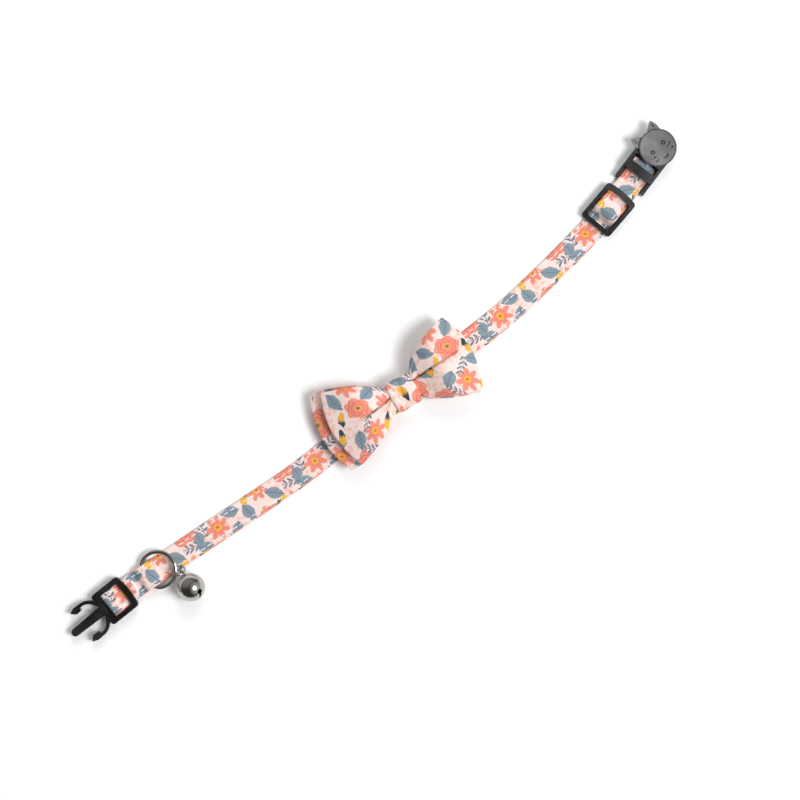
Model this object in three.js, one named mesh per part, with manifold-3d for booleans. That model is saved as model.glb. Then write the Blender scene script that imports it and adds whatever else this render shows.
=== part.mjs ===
// Pet bow tie collar, lying flat: a flower-print strap with a side-release buckle half at one end
// and its cat-face clasp at the other, a slide, a D-ring with a bell, and a two-layer bow on a loop.
// Millimetres, +Z up. +X runs along the collar from the buckle half to the clasp.
import * as THREE from "three";
import { mergeVertices } from "three/addons/utils/BufferGeometryUtils.js";
import Module from "manifold-3d";

const wasm = await Module();
wasm.setup();

// Cloth
const strapWidth = 10;
const strapThickness = 1;
const strapRun = 266.4; // from the buckle half's bar to the clasp's bar, along the strap
const clothWall = 1; // one layer of the bow's cloth with its backing
const gap = 0.3; // between pieces that touch
const layerGap = 0.6; // between the bow's two layers

// Hard plastic
const sideGap = 0.45; // from a strap edge to a frame's rail
const barDepth = 1.5; // height of the bar in the buckle half that the strap turns around
const thinBarDepth = 1.2; // the same in the slide and the clasp

// Buckle half
const buckleRail = 1.65;
const buckleWindow = 8.8;
const buckleBarAt = -1.7; // the bar, from the middle of the window toward the prongs
const buckleEndBar = 2.3;
const buckleArchBar = 1.6;
const buckleArchRise = 1.1;
const buckleBarWidth = 2.2;
const buckleHeight = 4.3;
const ridgeHeight = 0.3;
const tongueLength = 14.8;
const tongueRootWidth = 4;
const tongueTipWidth = 3.2;
const prongDepth = 3.4;
const armWidth = 1.35;
const armReach = 7.3; // from the middle line out to the middle of an arm's outermost stretch
const hookLength = 4.6;
const hookWidth = 2.7;

// Slide
const slideLength = 17.4;
const slideRail = 1.55;
const slideEndBar = 1.8;
const slideArchBar = 2.2;
const slideArchRise = 0.9;
const slideBarWidth = 2.2;
const slideHeight = 4.4;
const slideFromClaspBar = 20.9; // between the two bars that the returning strap turns around

// Cat clasp
const faceRadius = 7.3;
const faceThickness = 1.6;
const faceTilt = -0.15;
const earThickness = 1.3;
const earReach = 10.9; // from the middle of the face to an ear's tip
const earSpread = 0.49; // half the angle between the tips
const socketRoom = 4.4; // height of the pocket that takes the prongs
const socketFloor = 1.1;
const socketWall = 1.1;
const claspRail = 1.3;
const claspBarWidth = 2;
const claspBarFromFace = 9.1; // from the middle of the face back to the bar
const crossBarWidth = 3.6;
const crossBarThickness = 1.6;
const claspArm = 5; // length of the two ends that reach past the cross-bar
const engraving = 0.35;
const grooveWidth = 0.42;

// Rings and bell
const dRingRadius = 7.05; // to the middle of the wire
const dRingWire = 1.7;
const dRingBarOffset = 4.9; // from the middle of the arc back to the straight bar
const dRingFromBuckle = 15.4; // from the buckle half's bar to the D-ring's bar, along the strap
const dRingTilt = 0.157;
const jumpRingRadius = 2.7;
const jumpRingWire = 0.8;
const bellRadius = 5.5;
const bellWall = 0.6;
const bellSlit = 1;
const bellHole = 2.2;
const shankRadius = 1.15;
const shankWire = 0.7;
const peaRadius = 1.7;

// Bow
const bowLength = 55;
const bowHeight = 32;
const bowWaist = 9;
const leftSpread = 0.6; // power of the widening of the wing on the buckle's side, below 1 opens quickly
const rightSpread = 0.5; // and of the wing on the clasp's side
const endBulge = 3.9; // how far the end folds stand out past the line of their corners
const rightWingRise = 1.7; // how far the wing on the clasp's side sits toward +Y
const bowPuff = 3.4; // how far the front layer's wings stand open
const backLength = 58.5;
const backPuff = 2;
const backShift = -2.9;
const knotLength = 9;
const knotHeight = 12.6;
const bowTurn = -0.17;
const bowShare = 0.5175; // where the knot sits along the strap
const loopWidth = 8;
const loopWall = 0.8;

// Levels that the strap and its neighbours lie at, from the surface up
const flat = strapThickness / 2;
const second = flat + strapThickness + gap;
const buckleBarLevel = strapThickness + gap + barDepth / 2;
const overBuckleBar = buckleBarLevel + barDepth / 2 + gap + flat;
const thinBarLevel = strapThickness + gap + thinBarDepth / 2;
const overThinBar = thinBarLevel + thinBarDepth / 2 + gap + flat;
const overSlide = overThinBar + strapThickness + gap;
const dBarLevel = strapThickness + gap + dRingWire / 2;
const overDBar = dBarLevel + dRingWire / 2 + gap + flat;
const onLoop = loopWall + gap + flat;
const knotFloor = onLoop + flat + gap + loopWall + gap;

const frameInside = strapWidth / 2 + sideGap;
const strapTurnReach = claspBarWidth / 2 + gap + strapThickness; // past the clasp bar's middle
const slideStation = strapRun - slideFromClaspBar;
const faceStation = strapRun + claspBarFromFace;
const bowStation = strapRun * bowShare;

// The strap's line on the surface, as turns at shares of its run: how it happens to lie
const headings = [
  { share: 0, turn: -0.02 },
  { share: 0.05, turn: -0.098 },
  { share: 0.28, turn: -0.116 },
  { share: 0.345, turn: -0.035 },
  { share: 0.5165, turn: -0.03 },
  { share: 0.6, turn: -0.06 },
  { share: 0.68, turn: -0.02 },
  { share: 0.75, turn: 0.06 },
  { share: 0.86, turn: 0.11 },
  { share: 0.93, turn: 0.175 },
  { share: 1, turn: 0.225 },
];

function headingAt(station) {
  const share = THREE.MathUtils.clamp(station / strapRun, 0, 1);
  let row = 1;
  while (row < headings.length - 1 && headings[row].share < share) row += 1;
  const from = headings[row - 1];
  const to = headings[row];
  const part = (share - from.share) / (to.share - from.share);
  return THREE.MathUtils.lerp(from.turn, to.turn, part);
}

const routeSteps = 267;
const route = [new THREE.Vector2(0, 0)];
for (let i = 0; i < routeSteps; i += 1) {
  const step = strapRun / routeSteps;
  const turn = headingAt((i + 0.5) * step);
  route.push(new THREE.Vector2(step * Math.cos(turn), step * Math.sin(turn)).add(route[i]));
}

// A frame at a station: its place on the strap's line and its heading
function stationFrame(station) {
  const count = THREE.MathUtils.clamp((station / strapRun) * routeSteps, 0, routeSteps);
  const row = Math.min(Math.floor(count), routeSteps - 1);
  const point = route[row].clone().lerp(route[row + 1], count - row);
  const turn = headingAt(station);
  const beyond = station - (count / routeSteps) * strapRun;
  point.x += beyond * Math.cos(turn);
  point.y += beyond * Math.sin(turn);
  return { point, turn };
}

// A point given along the strap, across it and above the surface
function onStrap(station, across, height) {
  const { point, turn } = stationFrame(station);
  return new THREE.Vector3(
    point.x - across * Math.sin(turn),
    point.y + across * Math.cos(turn),
    height,
  );
}

function placeAt(object, station, turn = stationFrame(station).turn) {
  const { point } = stationFrame(station);
  object.position.set(point.x, point.y, 0);
  object.rotation.z = turn;
  return object;
}

// Solids for cutting and joining
function bare(geometry) {
  const copy = geometry.clone();
  copy.deleteAttribute("normal");
  copy.deleteAttribute("uv");
  return mergeVertices(copy, 1e-4);
}

function solid(geometry) {
  const merged = bare(geometry);
  return new wasm.Manifold(
    new wasm.Mesh({
      numProp: 3,
      vertProperties: merged.attributes.position.array,
      triVerts: new Uint32Array(merged.index.array),
    }),
  );
}

function geometryOf(body) {
  const mesh = body.getMesh();
  const geometry = new THREE.BufferGeometry();
  geometry.setAttribute("position", new THREE.BufferAttribute(mesh.vertProperties, 3));
  geometry.setIndex(new THREE.BufferAttribute(mesh.triVerts, 1));
  geometry.computeVertexNormals();
  return geometry;
}

function join(...bodies) {
  return bodies.reduce((all, body) => all.add(body));
}

function block(x0, x1, y0, y1, z0, z1) {
  const geometry = new THREE.BoxGeometry(x1 - x0, y1 - y0, z1 - z0);
  return solid(geometry.translate((x0 + x1) / 2, (y0 + y1) / 2, (z0 + z1) / 2));
}

// A flat shape raised from one height to another
function plate(shape, bottom, top, curveSegments = 6) {
  const options = { depth: top - bottom, bevelEnabled: false, curveSegments };
  return solid(new THREE.ExtrudeGeometry(shape, options).translate(0, 0, bottom));
}

// A bar across the strap with round edges, for the strap to turn around
function roundBar(width, depth, level, halfSpan) {
  const side = new THREE.Shape();
  const reach = (width - depth) / 2;
  side.absarc(reach, 0, depth / 2, -Math.PI / 2, Math.PI / 2);
  side.absarc(-reach, 0, depth / 2, Math.PI / 2, (3 * Math.PI) / 2);
  const options = { depth: 2 * halfSpan, bevelEnabled: false, curveSegments: 5 };
  const geometry = new THREE.ExtrudeGeometry(side, options);
  geometry.translate(0, 0, -halfSpan).rotateX(Math.PI / 2).translate(0, 0, level);
  return solid(geometry);
}

// A round wire along a curve
function wire(curve, diameter, steps, sides) {
  const ring = new THREE.Shape();
  for (let i = 0; i < sides; i += 1) {
    const angle = ((i + 0.5) / sides) * 2 * Math.PI;
    const [x, y] = [Math.cos(angle) * (diameter / 2), Math.sin(angle) * (diameter / 2)];
    if (i === 0) ring.moveTo(x, y);
    else ring.lineTo(x, y);
  }
  ring.closePath();
  return new THREE.ExtrudeGeometry(ring, { steps, extrudePath: curve, bevelEnabled: false });
}

// The end frame's outline: straight at the inner end, swelling outward at the strap's end
function archOutline(from, to, halfWidth, rise, corner) {
  const shape = new THREE.Shape();
  shape.moveTo(from, -halfWidth + corner);
  shape.quadraticCurveTo(from, -halfWidth, from + corner, -halfWidth);
  shape.lineTo(to - rise - corner, -halfWidth);
  shape.quadraticCurveTo(to - rise, -halfWidth, to - rise * 0.75, -halfWidth + corner);
  shape.quadraticCurveTo(to + rise * 0.25, 0, to - rise * 0.75, halfWidth - corner);
  shape.quadraticCurveTo(to - rise, halfWidth, to - rise - corner, halfWidth);
  shape.lineTo(from + corner, halfWidth);
  shape.quadraticCurveTo(from, halfWidth, from, halfWidth - corner);
  return shape;
}

// Strap: one band that folds back on itself at both ends. The fold line is drawn from the side.
const easeSteps = 8;

function strapFold() {
  const points = [];
  let at = new THREE.Vector2();
  const start = (station, height) => {
    at = new THREE.Vector2(station, height);
    points.push(at.clone());
  };
  const lineTo = (station, height, most = 6) => {
    const to = new THREE.Vector2(station, height);
    const count = Math.max(1, Math.ceil(to.distanceTo(at) / most));
    for (let i = 1; i <= count; i += 1) points.push(at.clone().lerp(to, i / count));
    at = to;
  };
  const easeTo = (station, height) => {
    const middle = (at.x + station) / 2;
    const curve = new THREE.CubicBezierCurve(
      at.clone(),
      new THREE.Vector2(middle, at.y),
      new THREE.Vector2(middle, height),
      new THREE.Vector2(station, height),
    );
    points.push(...curve.getPoints(easeSteps).slice(1));
    at = new THREE.Vector2(station, height);
  };
  const turnAround = (station, level, side) => {
    const radius = level - at.y;
    for (let i = 1; i <= easeSteps; i += 1) {
      const angle = (i / easeSteps) * Math.PI;
      const swing = Math.sin(angle) * Math.abs(radius);
      points.push(new THREE.Vector2(station + side * swing, level - radius * Math.cos(angle)));
    }
    at = points.at(-1).clone();
  };
  const buckleTurn = buckleBarAt - (buckleBarWidth - barDepth) / 2;
  const slideTurn = slideStation - (slideBarWidth - thinBarDepth) / 2;
  const claspTurn = strapRun + (claspBarWidth - thinBarDepth) / 2;
  const dBar = dRingFromBuckle;
  const halfLoop = loopWidth / 2;

  start(dBar + dRingWire / 2, flat);
  lineTo(buckleTurn, flat);
  turnAround(buckleTurn, buckleBarLevel, -1);
  lineTo(buckleBarAt + buckleBarWidth - barDepth, overBuckleBar);
  easeTo(buckleWindow / 2, second);
  lineTo(dBar - dRingWire - 3.4, second);
  easeTo(dBar - dRingWire / 2, overDBar);
  lineTo(dBar + dRingWire / 2, overDBar);
  easeTo(dBar + dRingWire / 2 + 5, flat);
  lineTo(bowStation - halfLoop - 6, flat);
  easeTo(bowStation - halfLoop - 1, onLoop);
  lineTo(bowStation + halfLoop + 1, onLoop);
  easeTo(bowStation + halfLoop + 6, flat);
  lineTo(slideStation - slideLength / 2 + slideEndBar + 0.4, flat);
  easeTo(slideStation - slideBarWidth / 2, overSlide);
  lineTo(slideStation + slideBarWidth / 2 + 0.6, overSlide);
  easeTo(slideStation + slideLength / 2 - slideArchBar - slideArchRise, second);
  lineTo(strapRun - claspBarWidth / 2 - 3, second);
  easeTo(strapRun - claspBarWidth / 4, overThinBar);
  lineTo(claspTurn, overThinBar);
  turnAround(claspTurn, thinBarLevel, 1);
  lineTo(slideTurn, flat);
  turnAround(slideTurn, thinBarLevel, -1);
  lineTo(slideStation + slideBarWidth / 2 + 1, overThinBar);
  return points;
}

function strapGeometry() {
  const fold = strapFold();
  const last = fold.length - 1;
  const geometry = new THREE.BoxGeometry(1, strapWidth, strapThickness, last, 1, 1);
  const position = geometry.attributes.position;
  for (let i = 0; i < position.count; i += 1) {
    const row = Math.round((position.getX(i) + 0.5) * last);
    const before = fold[Math.max(row - 1, 0)];
    const after = fold[Math.min(row + 1, last)];
    const along = after.clone().sub(before).normalize();
    const lift = position.getZ(i);
    const at = fold[row].clone().add(new THREE.Vector2(-along.y, along.x).multiplyScalar(lift));
    const placed = onStrap(at.x, position.getY(i), at.y);
    position.setXYZ(i, placed.x, placed.y, placed.z);
  }
  geometry.computeVertexNormals();
  return geometry;
}

// Buckle half: a frame with a window, the bar in it, a middle tongue and two hooked arms
function buckleArmShape(side) {
  const root = -buckleWindow / 2 - buckleEndBar;
  const inner = new THREE.SplineCurve([
    new THREE.Vector2(root + 0.9, tongueRootWidth / 2 - 0.2),
    new THREE.Vector2(root - 0.2, tongueRootWidth / 2 + 1.6),
    new THREE.Vector2(root - 1.6, armReach - 1.7),
    new THREE.Vector2(root - 3.6, armReach - 0.5),
    new THREE.Vector2(root - 5.8, armReach - 0.2),
  ]);
  const line = inner.getPoints(12);
  const outer = [];
  const within = [];
  line.forEach((point, i) => {
    const before = line[Math.max(i - 1, 0)];
    const after = line[Math.min(i + 1, line.length - 1)];
    const along = after.clone().sub(before).normalize();
    const out = new THREE.Vector2(along.y, -along.x).multiplyScalar(armWidth / 2);
    outer.push(point.clone().add(out));
    within.unshift(point.clone().sub(out));
  });
  const neck = line.at(-1);
  const tip = new THREE.Vector2(neck.x - hookLength, neck.y + armWidth / 2 - 0.9);
  const hook = [
    new THREE.Vector2(neck.x - hookLength * 0.5, neck.y + armWidth / 2 + 0.05),
    tip,
    new THREE.Vector2(tip.x + hookLength * 0.42, neck.y + armWidth / 2 - hookWidth),
    new THREE.Vector2(neck.x - 0.5, neck.y + armWidth / 2 - hookWidth + 0.15),
    new THREE.Vector2(neck.x - 0.1, neck.y - armWidth / 2 - 0.35),
  ];
  const ring = [...outer, ...hook, ...within].map((p) => new THREE.Vector2(p.x, p.y * side));
  return new THREE.Shape(ring);
}

function buckleGeometry() {
  const halfWidth = frameInside + buckleRail;
  const inner = -buckleWindow / 2;
  const outer = inner - buckleEndBar;
  const far = buckleWindow / 2 + buckleArchBar + buckleArchRise;
  const outline = archOutline(outer, far, halfWidth, buckleArchRise, 1.4);
  const window = archOutline(inner, buckleWindow / 2 + 0.2, frameInside, 0.7, 0.6);
  const underArch = second + flat + gap;
  let frame = plate(outline, 0, buckleHeight).subtract(plate(window, -1, buckleHeight + 1));
  const below = block(inner + 2, far + 1, -frameInside, frameInside, -1, underArch);
  frame = frame.subtract(below);
  const barAtWindowMiddle = roundBar(buckleBarWidth, barDepth, buckleBarLevel, halfWidth - 0.5);
  const bar = barAtWindowMiddle.translate([buckleBarAt, 0, 0]);
  const ridge = block(
    outer + 0.95, outer + 1.4, -frameInside, frameInside, buckleHeight - 0.5, buckleHeight + ridgeHeight,
  );
  const prongBottom = (buckleHeight - prongDepth) / 2;
  const prongTop = prongBottom + prongDepth;
  const tongue = new THREE.Shape();
  const tipRadius = tongueTipWidth / 2;
  tongue.moveTo(outer + 1, -tongueRootWidth / 2);
  tongue.lineTo(outer + 1, tongueRootWidth / 2);
  tongue.lineTo(outer - tongueLength + tipRadius, tipRadius);
  tongue.absarc(outer - tongueLength + tipRadius, 0, tipRadius, Math.PI / 2, (3 * Math.PI) / 2);
  const prongs = [tongue, buckleArmShape(1), buckleArmShape(-1)];
  return geometryOf(join(frame, bar, ridge, ...prongs.map((s) => plate(s, prongBottom, prongTop, 8))));
}

// Slide: a frame with a bar across its middle
function slideGeometry() {
  const halfWidth = frameInside + slideRail;
  const half = slideLength / 2;
  const outline = archOutline(-half, half, halfWidth, slideArchRise, 1.4);
  const window = archOutline(-half + slideEndBar, half - slideArchBar, frameInside, slideArchRise, 0.8);
  const underEnd = strapThickness + gap;
  const underArch = second + flat + gap;
  let frame = plate(outline, 0, slideHeight).subtract(plate(window, -1, slideHeight + 1));
  frame = frame.subtract(block(-half - 1, 0, -frameInside, frameInside, -1, underEnd));
  frame = frame.subtract(block(0, half + 1, -frameInside, frameInside, -1, underArch));
  frame = frame.subtract(block(-half - 1, -half + slideEndBar + 0.2, -20, 20, slideHeight - 1.1, 20));
  const bar = roundBar(slideBarWidth, thinBarDepth, thinBarLevel, halfWidth - 0.5);
  return geometryOf(join(frame, bar));
}

// Cat clasp: a socket under a round face with two ears, and a frame for the strap behind it
function rotated(x, y, angle) {
  return [x * Math.cos(angle) - y * Math.sin(angle), x * Math.sin(angle) + y * Math.cos(angle)];
}

function groove(points, top) {
  const curve = new THREE.CatmullRomCurve3(points.map(([x, y]) => new THREE.Vector3(x, y, top)));
  const half = grooveWidth / 2;
  const cut = new THREE.Shape([
    new THREE.Vector2(-engraving, -half),
    new THREE.Vector2(engraving, -half),
    new THREE.Vector2(engraving, half),
    new THREE.Vector2(-engraving, half),
  ]);
  const steps = points.length > 2 ? 8 : 1;
  return solid(new THREE.ExtrudeGeometry(cut, { steps, extrudePath: curve, bevelEnabled: false }));
}

function ringGroove(x, y, radius, top) {
  const half = grooveWidth / 2;
  const corners = [
    new THREE.Vector2(radius - half, -engraving),
    new THREE.Vector2(radius + half, -engraving),
    new THREE.Vector2(radius + half, engraving),
    new THREE.Vector2(radius - half, engraving),
    new THREE.Vector2(radius - half, -engraving),
  ];
  return solid(new THREE.LatheGeometry(corners, 14).rotateX(Math.PI / 2).translate(x, y, top));
}

function earShape(side) {
  const middle = Math.PI / 2 - side * earSpread;
  const inward = 5.2;
  const base = faceRadius * 0.96;
  const at = (radius, angle) => new THREE.Vector2(radius * Math.cos(angle), radius * Math.sin(angle));
  const wide = at(base, middle - side * 0.42);
  const near = at(base, middle + side * 0.3);
  const tip = at(earReach, middle);
  const ear = new THREE.Shape();
  const belly = at(earReach * 0.87, middle - side * 0.27);
  const flank = at(earReach * 0.84, middle + side * 0.16);
  const foot = [at(inward, middle + side * 0.3), at(inward, middle - side * 0.42)];
  ear.moveTo(wide.x, wide.y);
  ear.quadraticCurveTo(belly.x, belly.y, tip.x, tip.y);
  ear.quadraticCurveTo(flank.x, flank.y, near.x, near.y);
  ear.lineTo(foot[0].x, foot[0].y);
  ear.lineTo(foot[1].x, foot[1].y);
  return ear;
}

// Whiskers and mouth, as shares of the face's radius
const faceLines = [
  [[0.4, -0.3], [0.7, -0.22]],
  [[0.39, -0.48], [0.64, -0.51]],
  [[-0.4, -0.3], [-0.7, -0.22]],
  [[-0.39, -0.48], [-0.64, -0.51]],
  [[-0.16, -0.57], [-0.11, -0.64], [0, -0.67], [0.11, -0.64], [0.16, -0.57]],
];

function claspGeometry() {
  const pocketTop = socketFloor + socketRoom;
  const faceTop = pocketTop + faceThickness;
  const halfWidth = frameInside + claspRail;
  const mouth = faceRadius - 0.2;
  const back = -claspBarFromFace + strapTurnReach + gap + socketWall;
  const bar = -claspBarFromFace;
  const crossTo = bar - claspBarWidth / 4;
  const crossFrom = crossTo - crossBarWidth;
  const crossBottom = overThinBar + flat + gap;
  const crossTop = crossBottom + crossBarThickness;
  const earTop = faceTop - 0.7;
  const pocketHalf = halfWidth - socketWall;

  const bodyTop = pocketTop + 0.2;
  const straightPart = block(back - socketWall, 0, -halfWidth, halfWidth, 0, bodyTop);
  const frontPart = block(-1, mouth, -halfWidth, halfWidth, 0, bodyTop);
  const roundFront = new THREE.CylinderGeometry(mouth, mouth, bodyTop + 2, 48);
  const front = frontPart.intersect(solid(roundFront.rotateX(Math.PI / 2).translate(0, 0, bodyTop / 2)));
  const body = join(straightPart, front);
  const pocket = block(back, mouth + 2, -pocketHalf, pocketHalf, socketFloor, pocketTop);
  const catchWindow = block(back + 1.6, back + 6.4, -20, 20, socketFloor, pocketTop - 1);
  const rails = [-1, 1].map((side) => {
    const [y0, y1] = side > 0 ? [frameInside, halfWidth] : [-halfWidth, -frameInside];
    return block(crossFrom, back, y0, y1, 0, crossTop);
  });
  const arms = [-1, 1].map((side) => {
    const [y0, y1] = side > 0 ? [frameInside, halfWidth] : [-halfWidth, -frameInside];
    return block(crossFrom - claspArm, crossFrom + 0.5, y0, y1, 0, crossTop - 2);
  });
  const crossBar = block(crossFrom, crossTo, -halfWidth, halfWidth, crossBottom, crossTop);
  const strapBar = roundBar(claspBarWidth, thinBarDepth, thinBarLevel, halfWidth - 0.5);

  const disc = new THREE.CylinderGeometry(faceRadius, faceRadius, faceThickness, 48);
  const face = solid(disc.rotateX(Math.PI / 2).translate(0, 0, pocketTop + faceThickness / 2));
  const ears = [-1, 1].map((side) => plate(earShape(side), earTop - earThickness, earTop, 5));

  const scaled = (points) => points.map(([x, y]) => [x * faceRadius, y * faceRadius]);
  let head = join(face, ...ears);
  for (const line of faceLines) head = head.subtract(groove(scaled(line), faceTop));
  for (const side of [-1, 1]) {
    head = head.subtract(ringGroove(side * faceRadius * 0.38, 0, 0.6, faceTop));
    const tip = Math.PI / 2 - side * earSpread;
    const innerEar = [
      [(faceRadius + 0.9) * Math.cos(tip - side * 0.1), (faceRadius + 0.9) * Math.sin(tip - side * 0.1)],
      [(earReach - 1.3) * Math.cos(tip), (earReach - 1.3) * Math.sin(tip)],
    ];
    head = head.subtract(groove(innerEar, earTop));
  }
  head = head.rotate([0, 0, (faceTilt * 180) / Math.PI]);
  const shell = join(body, ...rails, ...arms, crossBar, strapBar.translate([bar, 0, 0]), head);
  return geometryOf(shell.subtract(pocket).subtract(catchWindow));
}

// D-ring: a round arc closed by a straight bar, tilted about that bar
function dRingCurve() {
  const reach = Math.sqrt(dRingRadius ** 2 - dRingBarOffset ** 2);
  const angle = Math.atan2(reach, -dRingBarOffset);
  const corner = 0.16;
  const points = [];
  const arcSteps = 22;
  for (let i = 0; i <= arcSteps; i += 1) {
    const a = THREE.MathUtils.lerp(-(angle - corner), angle - corner, i / arcSteps);
    points.push([dRingBarOffset + dRingRadius * Math.cos(a), dRingRadius * Math.sin(a)]);
  }
  for (const share of [0.78, 0.3, -0.3, -0.78]) points.push([0, reach * share]);
  const placed = points.map(([x, y]) => new THREE.Vector3(x * Math.cos(dRingTilt), y, x * Math.sin(dRingTilt)));
  return new THREE.CatmullRomCurve3(placed, true, "catmullrom", 0.35);
}

// Where the jump ring crosses the D-ring's arc, and where it passes through the bell's shank
const linkAngle = -0.62;
const shankReach = bellRadius + 0.35 + jumpRingWire / 2;

function linkPlaces() {
  const { turn } = stationFrame(dRingFromBuckle);
  const local = new THREE.Vector3(
    (dRingBarOffset + dRingRadius * Math.cos(linkAngle)) * Math.cos(dRingTilt),
    dRingRadius * Math.sin(linkAngle),
    (dRingBarOffset + dRingRadius * Math.cos(linkAngle)) * Math.sin(dRingTilt) + dBarLevel,
  );
  const { point } = stationFrame(dRingFromBuckle);
  const arc = local.clone().applyAxisAngle(new THREE.Vector3(0, 0, 1), turn);
  arc.x += point.x;
  arc.y += point.y;
  const tangent = new THREE.Vector3(-Math.sin(linkAngle), Math.cos(linkAngle), 0);
  tangent.applyAxisAngle(new THREE.Vector3(0, 0, 1), turn);
  const slack = jumpRingRadius - jumpRingWire / 2 - dRingWire / 2 - gap - 0.15;
  const pull = new THREE.Vector3(0.71, -0.7, 0.22).normalize();
  const middle = arc.clone().addScaledVector(pull, slack);
  const upright = tangent.clone().addScaledVector(pull, -tangent.dot(pull)).normalize();
  const over = new THREE.Vector3().crossVectors(pull, upright);
  const lean = 0.66;
  const normal = upright.multiplyScalar(Math.cos(lean)).addScaledVector(over, Math.sin(lean));
  normal.normalize();
  const toBell = new THREE.Vector3(-0.1, -1, 0);
  toBell.addScaledVector(normal, -toBell.dot(normal)).normalize();
  const far = middle.clone().addScaledVector(toBell, jumpRingRadius);
  return { middle, far, toBell, normal };
}

const link = linkPlaces();
const shankSide = new THREE.Vector3().crossVectors(link.normal, link.toBell).normalize();
const shankDrop = (link.far.z - bellRadius) / shankReach;
const bellTop = new THREE.Vector3(0.15, 0.98, 0).setLength(Math.sqrt(1 - shankDrop ** 2));
bellTop.z = shankDrop;
const bellMiddle = link.far.clone().addScaledVector(bellTop, -shankReach);

// A ring of round wire: a torus turned so that its axis is the given one
function ringGeometry(middle, normal, radius, diameter, sides, steps) {
  const geometry = new THREE.TorusGeometry(radius, diameter / 2, sides, steps);
  const turn = new THREE.Quaternion().setFromUnitVectors(new THREE.Vector3(0, 0, 1), normal);
  return geometry.applyQuaternion(turn).translate(middle.x, middle.y, middle.z);
}

// Bell: a thin round shell with a slit between two holes, and a wire shank at the top
function bellGeometry() {
  const outside = solid(new THREE.SphereGeometry(bellRadius, 28, 18));
  const inside = solid(new THREE.SphereGeometry(bellRadius - bellWall, 28, 18));
  const slit = block(-3.9, 3.9, -bellSlit / 2, bellSlit / 2, -bellRadius - 1, -bellRadius * 0.3);
  const hole = (side) => {
    const geometry = new THREE.CylinderGeometry(bellHole / 2, bellHole / 2, bellRadius, 12);
    geometry.rotateX(Math.PI / 2).translate(0, 0, -bellRadius);
    return solid(geometry.rotateY(side * -0.98));
  };
  const shankMiddle = new THREE.Vector3(0, 0, shankReach);
  const shank = solid(ringGeometry(shankMiddle, new THREE.Vector3(0, 1, 0), shankRadius, shankWire, 6, 16));
  let shell = join(outside, shank).subtract(inside);
  shell = shell.subtract(slit).subtract(hole(1)).subtract(hole(-1));
  return geometryOf(shell);
}

// Turns a thing modelled with +Z as the bell's top and +Y as the shank's axis into its place
function bellPose(object) {
  const zAxis = bellTop.clone().normalize();
  const yAxis = shankSide.clone().addScaledVector(zAxis, -shankSide.dot(zAxis)).normalize();
  const xAxis = new THREE.Vector3().crossVectors(yAxis, zAxis);
  object.quaternion.setFromRotationMatrix(new THREE.Matrix4().makeBasis(xAxis, yAxis, zAxis));
  object.position.copy(bellMiddle);
  return object;
}

// A closed band: a torus whose corners are laid by a rule. Its section is flat, with an outer and
// an inner face; across runs from -1 to 1 and around is the angle along the band.
function closedBand(aroundSteps, acrossPoints, rule) {
  const sides = 2 * acrossPoints;
  const geometry = new THREE.TorusGeometry(2, 1, sides, aroundSteps);
  const position = geometry.attributes.position;
  for (let i = 0; i < position.count; i += 1) {
    const around = ((i % (aroundSteps + 1)) % aroundSteps) / aroundSteps;
    const side = Math.floor(i / (aroundSteps + 1)) % sides;
    const inner = side >= acrossPoints;
    const step = inner ? sides - 1 - side : side;
    const across = -1 + (2 * step) / (acrossPoints - 1);
    const [x, y, z] = rule(around * 2 * Math.PI, across, inner);
    position.setXYZ(i, x, y, z);
  }
  geometry.computeVertexNormals();
  return geometry;
}

// The swell of a wing from the knot (0) to its end (1)
const knotShare = knotLength / bowLength;
const waistEnd = knotShare + 0.06;

function swell(share) {
  const rise = THREE.MathUtils.smoothstep(share, waistEnd, 0.62);
  const fall = THREE.MathUtils.smoothstep(share, 0.6, 1.05);
  return rise * (1 - 0.55 * fall);
}

const layerWaist = 2 * clothWall + gap;
const backFloor = knotFloor + clothWall + gap;

function backUnderside() {
  return backFloor;
}

function backTop(share) {
  return backFloor + layerWaist + backPuff * swell(share);
}

function frontUnderside(share) {
  return backTop(share) + layerGap;
}

function frontTop(share) {
  return frontUnderside(share) + layerWaist + bowPuff * swell(share);
}

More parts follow.
